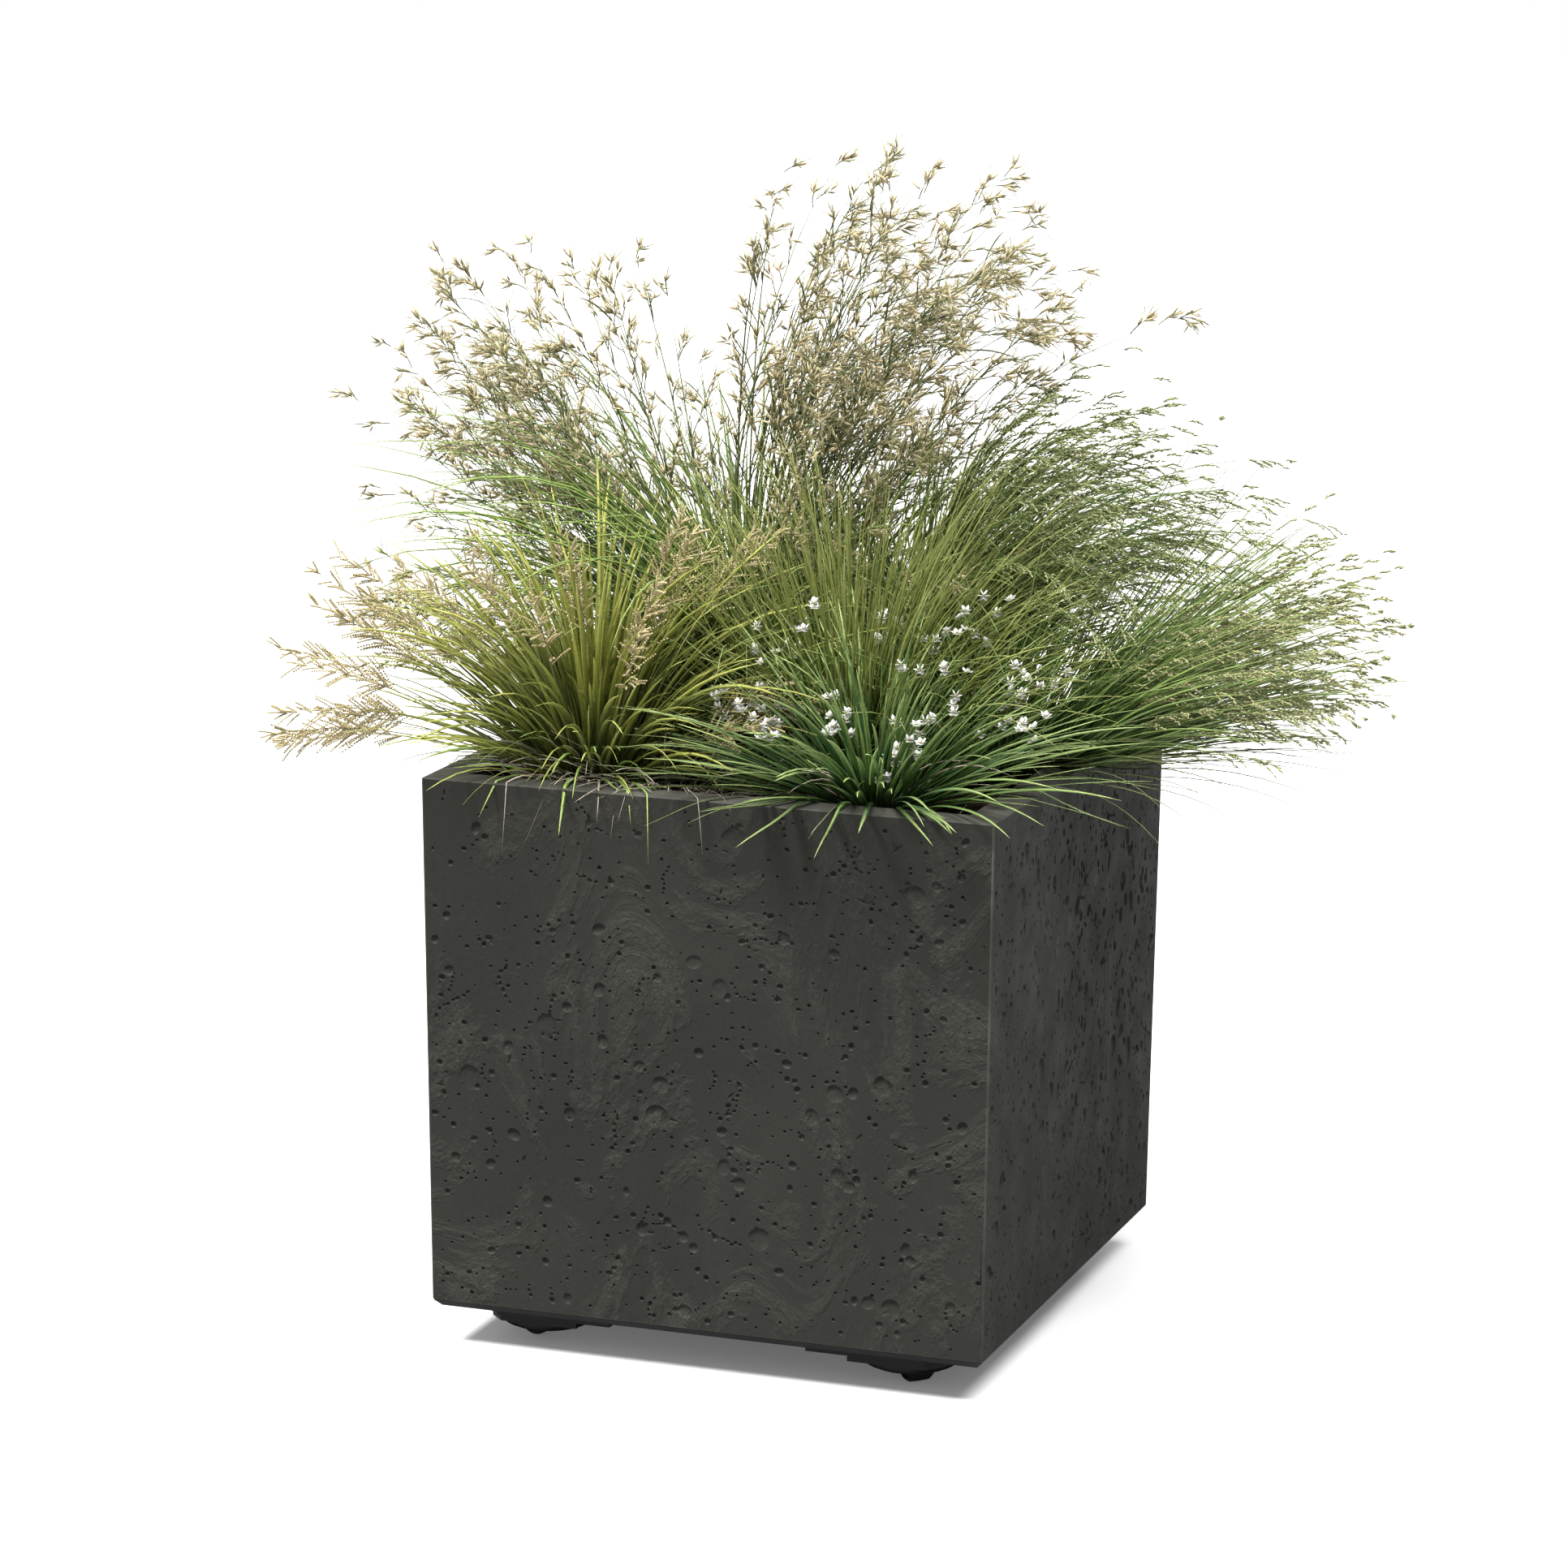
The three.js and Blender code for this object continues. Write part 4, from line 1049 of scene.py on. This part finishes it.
def green_panic_grass():
    plant = Plant("green_panic_grass", 22)
    leaves = Bunch(plant)
    leaves.tuft(400, 46, (0.17, 0.29), (2, 38), (30, 104), (1.6, 2.6), steps=10, wind=(0.04, 0))
    leaves.tuft(280, 46, (0.20, 0.33), (-8, 26), (60, 118), (1.5, 2.4), facing=(5, 75), steps=11, power=1.2)
    leaves.piece("green_panic_leaves", "panic_leaf", plant.node)

    heads = Bunch(plant)
    stalks = plant.grow(150, 40, (0.26, 0.35), (-12, 20), (70, 118), facing=(6, 52), steps=13, power=1.15,
                        spare=18)
    heads.blades(stalks, (1.1, 1.5), keel=0.6, along=(0.0, 0.5))
    heads.panicles(stalks, 12, 0.5, (0.025, 0.055), (3.4, 5.0), 1.4, 0.17)
    heads.piece("green_panic_heads", "panic_head")


# ---- Fine feather grass: centre ------------------------------------------------------------------


def fine_feather_grass():
    plant = Plant("fine_feather_grass", 23)
    leaves = Bunch(plant)
    leaves.tuft(720, 56, (0.15, 0.27), (0, 36), (4, 60), (1.3, 2.2), wind=(0.1, 0), steps=8)
    leaves.tuft(260, 60, (0.16, 0.25), (10, 46), (30, 90), (1.0, 1.7), facing=(0, 75), steps=9)
    leaves.piece("feather_grass_leaves", "feather_leaf", plant.node)


# ---- Broad sedge: front left ---------------------------------------------------------------------

SEDGE_STALKS = [  # count, length in metres, tilt, bend, facing
    (11, (0.20, 0.235), (38, 52), (16, 40), (186, 32)),
    (6, (0.20, 0.23), (58, 66), (34, 48), (196, 22)),
    (16, (0.17, 0.225), (10, 38), (8, 34), (10, 150)),
    (4, (0.15, 0.19), (40, 52), (20, 44), (0, 30)),
]


def broad_sedge():
    plant = Plant("broad_sedge", 24)
    leaves = Bunch(plant)
    leaves.tuft(330, 30, (0.13, 0.235), (2, 44), (18, 88), (3.4, 5.8), twist=0.35, steps=10)
    leaves.tuft(190, 32, (0.12, 0.19), (30, 60), (20, 74), (2.0, 3.4), steps=10)
    leaves.piece("broad_sedge_leaves", "sedge_leaf", plant.node)

    fresh = Bunch(plant)
    fresh.tuft(34, 30, (0.07, 0.13), (20, 66), (50, 120), (2.6, 4.0), twist=0.4, facing=(-80, 80), steps=11)
    fresh.piece("broad_sedge_fresh_leaves", "fresh_leaf")

    straw = Bunch(plant)
    straw.tuft(84, 36, (0.05, 0.11), (36, 76), (40, 100), (1.6, 2.8), twist=1.0, facing=(-70, 110))
    straw.tuft(230, 50, (0.05, 0.11), (45, 85), (10, 60), (0.9, 1.6), twist=1.0, steps=8, shift=(52, 6))
    straw.piece("broad_sedge_straw", "straw")

    heads = Bunch(plant)
    stalks = np.concatenate([plant.grow(count, 30, length, tilt, bend, facing, steps=12, spare=10)
                             for count, length, tilt, bend, facing in SEDGE_STALKS])
    stalks = over_the_rim(stalks)
    heads.blades(stalks, (1.0, 1.4), keel=0.6, along=(0.0, 0.4))
    side = plant.branches(stalks, 36, 0.6, (0.028, 0.05), 0.42, 0.12, reach=0.99)
    heads.blades(side, 0.5, keel=0.6, along=(0.3, 0.5))
    for i in range(11):
        place, heading = at_each(side, (i + 0.9) / 11.2)
        heads.grains(place - heading * 0.7 * MM, heading, 2.1, 1.8, along=(0.6, 1.0), belly=0.5)
    heads.piece("broad_sedge_heads", "bead_head")


# ---- White lilyturf: front right -----------------------------------------------------------------

FLOWER_STEMS = [  # count, length in metres, tilt, bend, facing
    (9, (0.09, 0.15), (34, 60), (0, 16), (180, 60)),
    (7, (0.12, 0.165), (4, 30), (0, 16), (0, 180)),
    (9, (0.10, 0.155), (24, 52), (0, 20), (0, 60)),
    (5, (0.07, 0.10), (10, 44), (0, 20), (-90, 50)),
]
PETALS = 6
PETAL_LENGTH = 4.2 * MM
PETAL_CUP = 1.5 * MM


def white_lilyturf():
    plant = Plant("white_lilyturf", 25)
    leaves = Bunch(plant)
    leaves.tuft(170, 22, (0.10, 0.175), (4, 56), (10, 60), (3.0, 4.6), twist=0.4, steps=10)
    leaves.tuft(130, 22, (0.13, 0.2), (48, 74), (12, 44), (3.2, 4.8), twist=0.35, facing=(-90, 118),
                steps=12)
    leaves.piece("lilyturf_leaves", "turf_leaf", plant.node)

    straw = Bunch(plant)
    straw.tuft(30, 20, (0.05, 0.13), (35, 80), (30, 90), (1.8, 2.8), twist=1.0, facing=(-90, 130))
    straw.piece("lilyturf_straw", "straw")

    stems = np.concatenate([plant.grow(count, 30, length, tilt, bend, facing, steps=8)
                            for count, length, tilt, bend, facing in FLOWER_STEMS])
    green = Bunch(plant)
    green.blades(stems, (0.9, 1.2), keel=0.6, along=(0.1, 0.5))
    green.piece("lilyturf_stems", "turf_leaf")
    flowers_on(plant, stems)


def flowers_on(plant, stems):
    """Small star flowers round the top of each stem, turned to the front and upwards."""
    flowers = Bunch(plant)
    rng = plant.rng
    which = np.repeat(np.arange(len(stems)), rng.integers(3, 7, len(stems)))
    middle, _ = at(stems, which, rng.uniform(0.8, 1.0, len(which)))
    middle = middle + rng.normal(0, 6.0, middle.shape) * MM
    facing = unit(rng.normal(0, 0.6, middle.shape) + [0.0, -0.9, 0.9])
    side = unit(np.cross(facing, UP))
    above = np.cross(side, facing)
    share = np.linspace(0, 1, 5)[None, :, None]
    for petal in range(PETALS):
        angle = 2 * math.pi * petal / PETALS
        out = (side * math.cos(angle) + above * math.sin(angle))[:, None]
        path = middle[:, None] + out * PETAL_LENGTH * share + facing[:, None] * PETAL_CUP * share**1.6
        flowers.blades(path, 5.0, twist=0.1, waist=0.45, tip=0.12, keel=0.1)
    flowers.grains(middle - facing * 0.4 * MM, facing, 2.4, 1.3, along=0.0, belly=0.5)
    flowers.piece("lilyturf_flowers", "petal")


# ---- Fountain grass: right, leaning out ----------------------------------------------------------


def fountain_grass():
    plant = Plant("fountain_grass", 26)
    leaves = Bunch(plant)
    leaves.tuft(360, 48, (0.16, 0.285), (34, 64), (6, 40), (1.7, 2.7), facing=(0, 36), steps=10)
    leaves.tuft(360, 48, (0.12, 0.22), (4, 54), (20, 70), (1.5, 2.4), wind=(0.12, 0))
    leaves.piece("fountain_leaves", "fountain_leaf", plant.node)

    hair = Bunch(plant)
    paths = plant.grow(70, 44, (0.19, 0.28), (56, 74), (20, 50), facing=(-8, 44), steps=12)
    hair.blades(over_the_rim(paths), 1.1, keel=0.5)
    paths = plant.grow(46, 44, (0.22, 0.32), (16, 48), (0, 22), facing=(0, 36), steps=10)
    hair.blades(paths, 1.3, keel=0.5)
    hair.piece("fountain_hairs", "hair")

    heads = Bunch(plant)
    stalks = plant.grow(100, 40, (0.21, 0.295), (38, 64), (12, 44), facing=(0, 34), steps=12, spare=14)
    stalks = over_the_rim(stalks)
    heads.blades(stalks, (1.1, 1.5), keel=0.6, along=(0.0, 0.5))
    heads.panicles(stalks, 10, 0.56, (0.02, 0.05), (3.6, 5.4), 1.5, 0.14)
    heads.piece("fountain_heads", "fountain_head")


tall_oat_grass()
green_panic_grass()
fine_feather_grass()
broad_sedge()
white_lilyturf()
fountain_grass()

# ---- Studio --------------------------------------------------------------------------------------


FLOOR_REACH = 12
AMBIENT = 0.34  # of the surroundings, as the planter sees them
BACKGROUND = 1.0  # as the camera sees them
SUNS = [  # name, direction, strength, and the width in degrees that softens its shadows
    ("key", (0.36, 0.40, -0.84), 5.4, 16),
    ("side", (-0.42, 0.22, -0.88), 3.8, 24),
    ("fill", (0.3, 0.9, -0.4), 0.3, 60),
]


def build_floor():
    floor = bpy.data.objects.new("studio_floor", bpy.data.meshes.new("studio_floor"))
    corners = [(x * FLOOR_REACH, y * FLOOR_REACH, 0) for x, y in ((-1, -1), (1, -1), (1, 1), (-1, 1))]
    floor.data.from_pydata(corners, [], [(0, 1, 2, 3)])
    floor.data.materials.append(studio_floor("studio_floor"))
    bpy.context.scene.collection.objects.link(floor)


def build_world():
    """White surroundings, which light the planter less than they show."""
    world = bpy.data.worlds.new("studio_world")
    bpy.context.scene.world = world
    world.use_nodes = True
    background = world.node_tree.nodes["Background"]
    background.inputs["Color"].default_value = (1, 1, 1, 1)
    seen = world.node_tree.nodes.new("ShaderNodeLightPath").outputs["Is Camera Ray"]
    strength = world.node_tree.nodes.new("ShaderNodeMapRange")
    strength.inputs["To Min"].default_value = AMBIENT
    strength.inputs["To Max"].default_value = BACKGROUND
    world.node_tree.links.new(seen, strength.inputs["Value"])
    world.node_tree.links.new(strength.outputs["Result"], background.inputs["Strength"])


def build_suns():
    for name, towards, strength, softness in SUNS:
        light = bpy.data.objects.new(name, bpy.data.lights.new(name, "SUN"))
        light.data.energy = strength
        light.data.angle = math.radians(softness)
        light.rotation_euler = Vector(towards).to_track_quat("-Z", "Y").to_euler()
        bpy.context.scene.collection.objects.link(light)


build_floor()
build_world()
build_suns()
bpy.context.scene.view_settings.view_transform = "Standard"
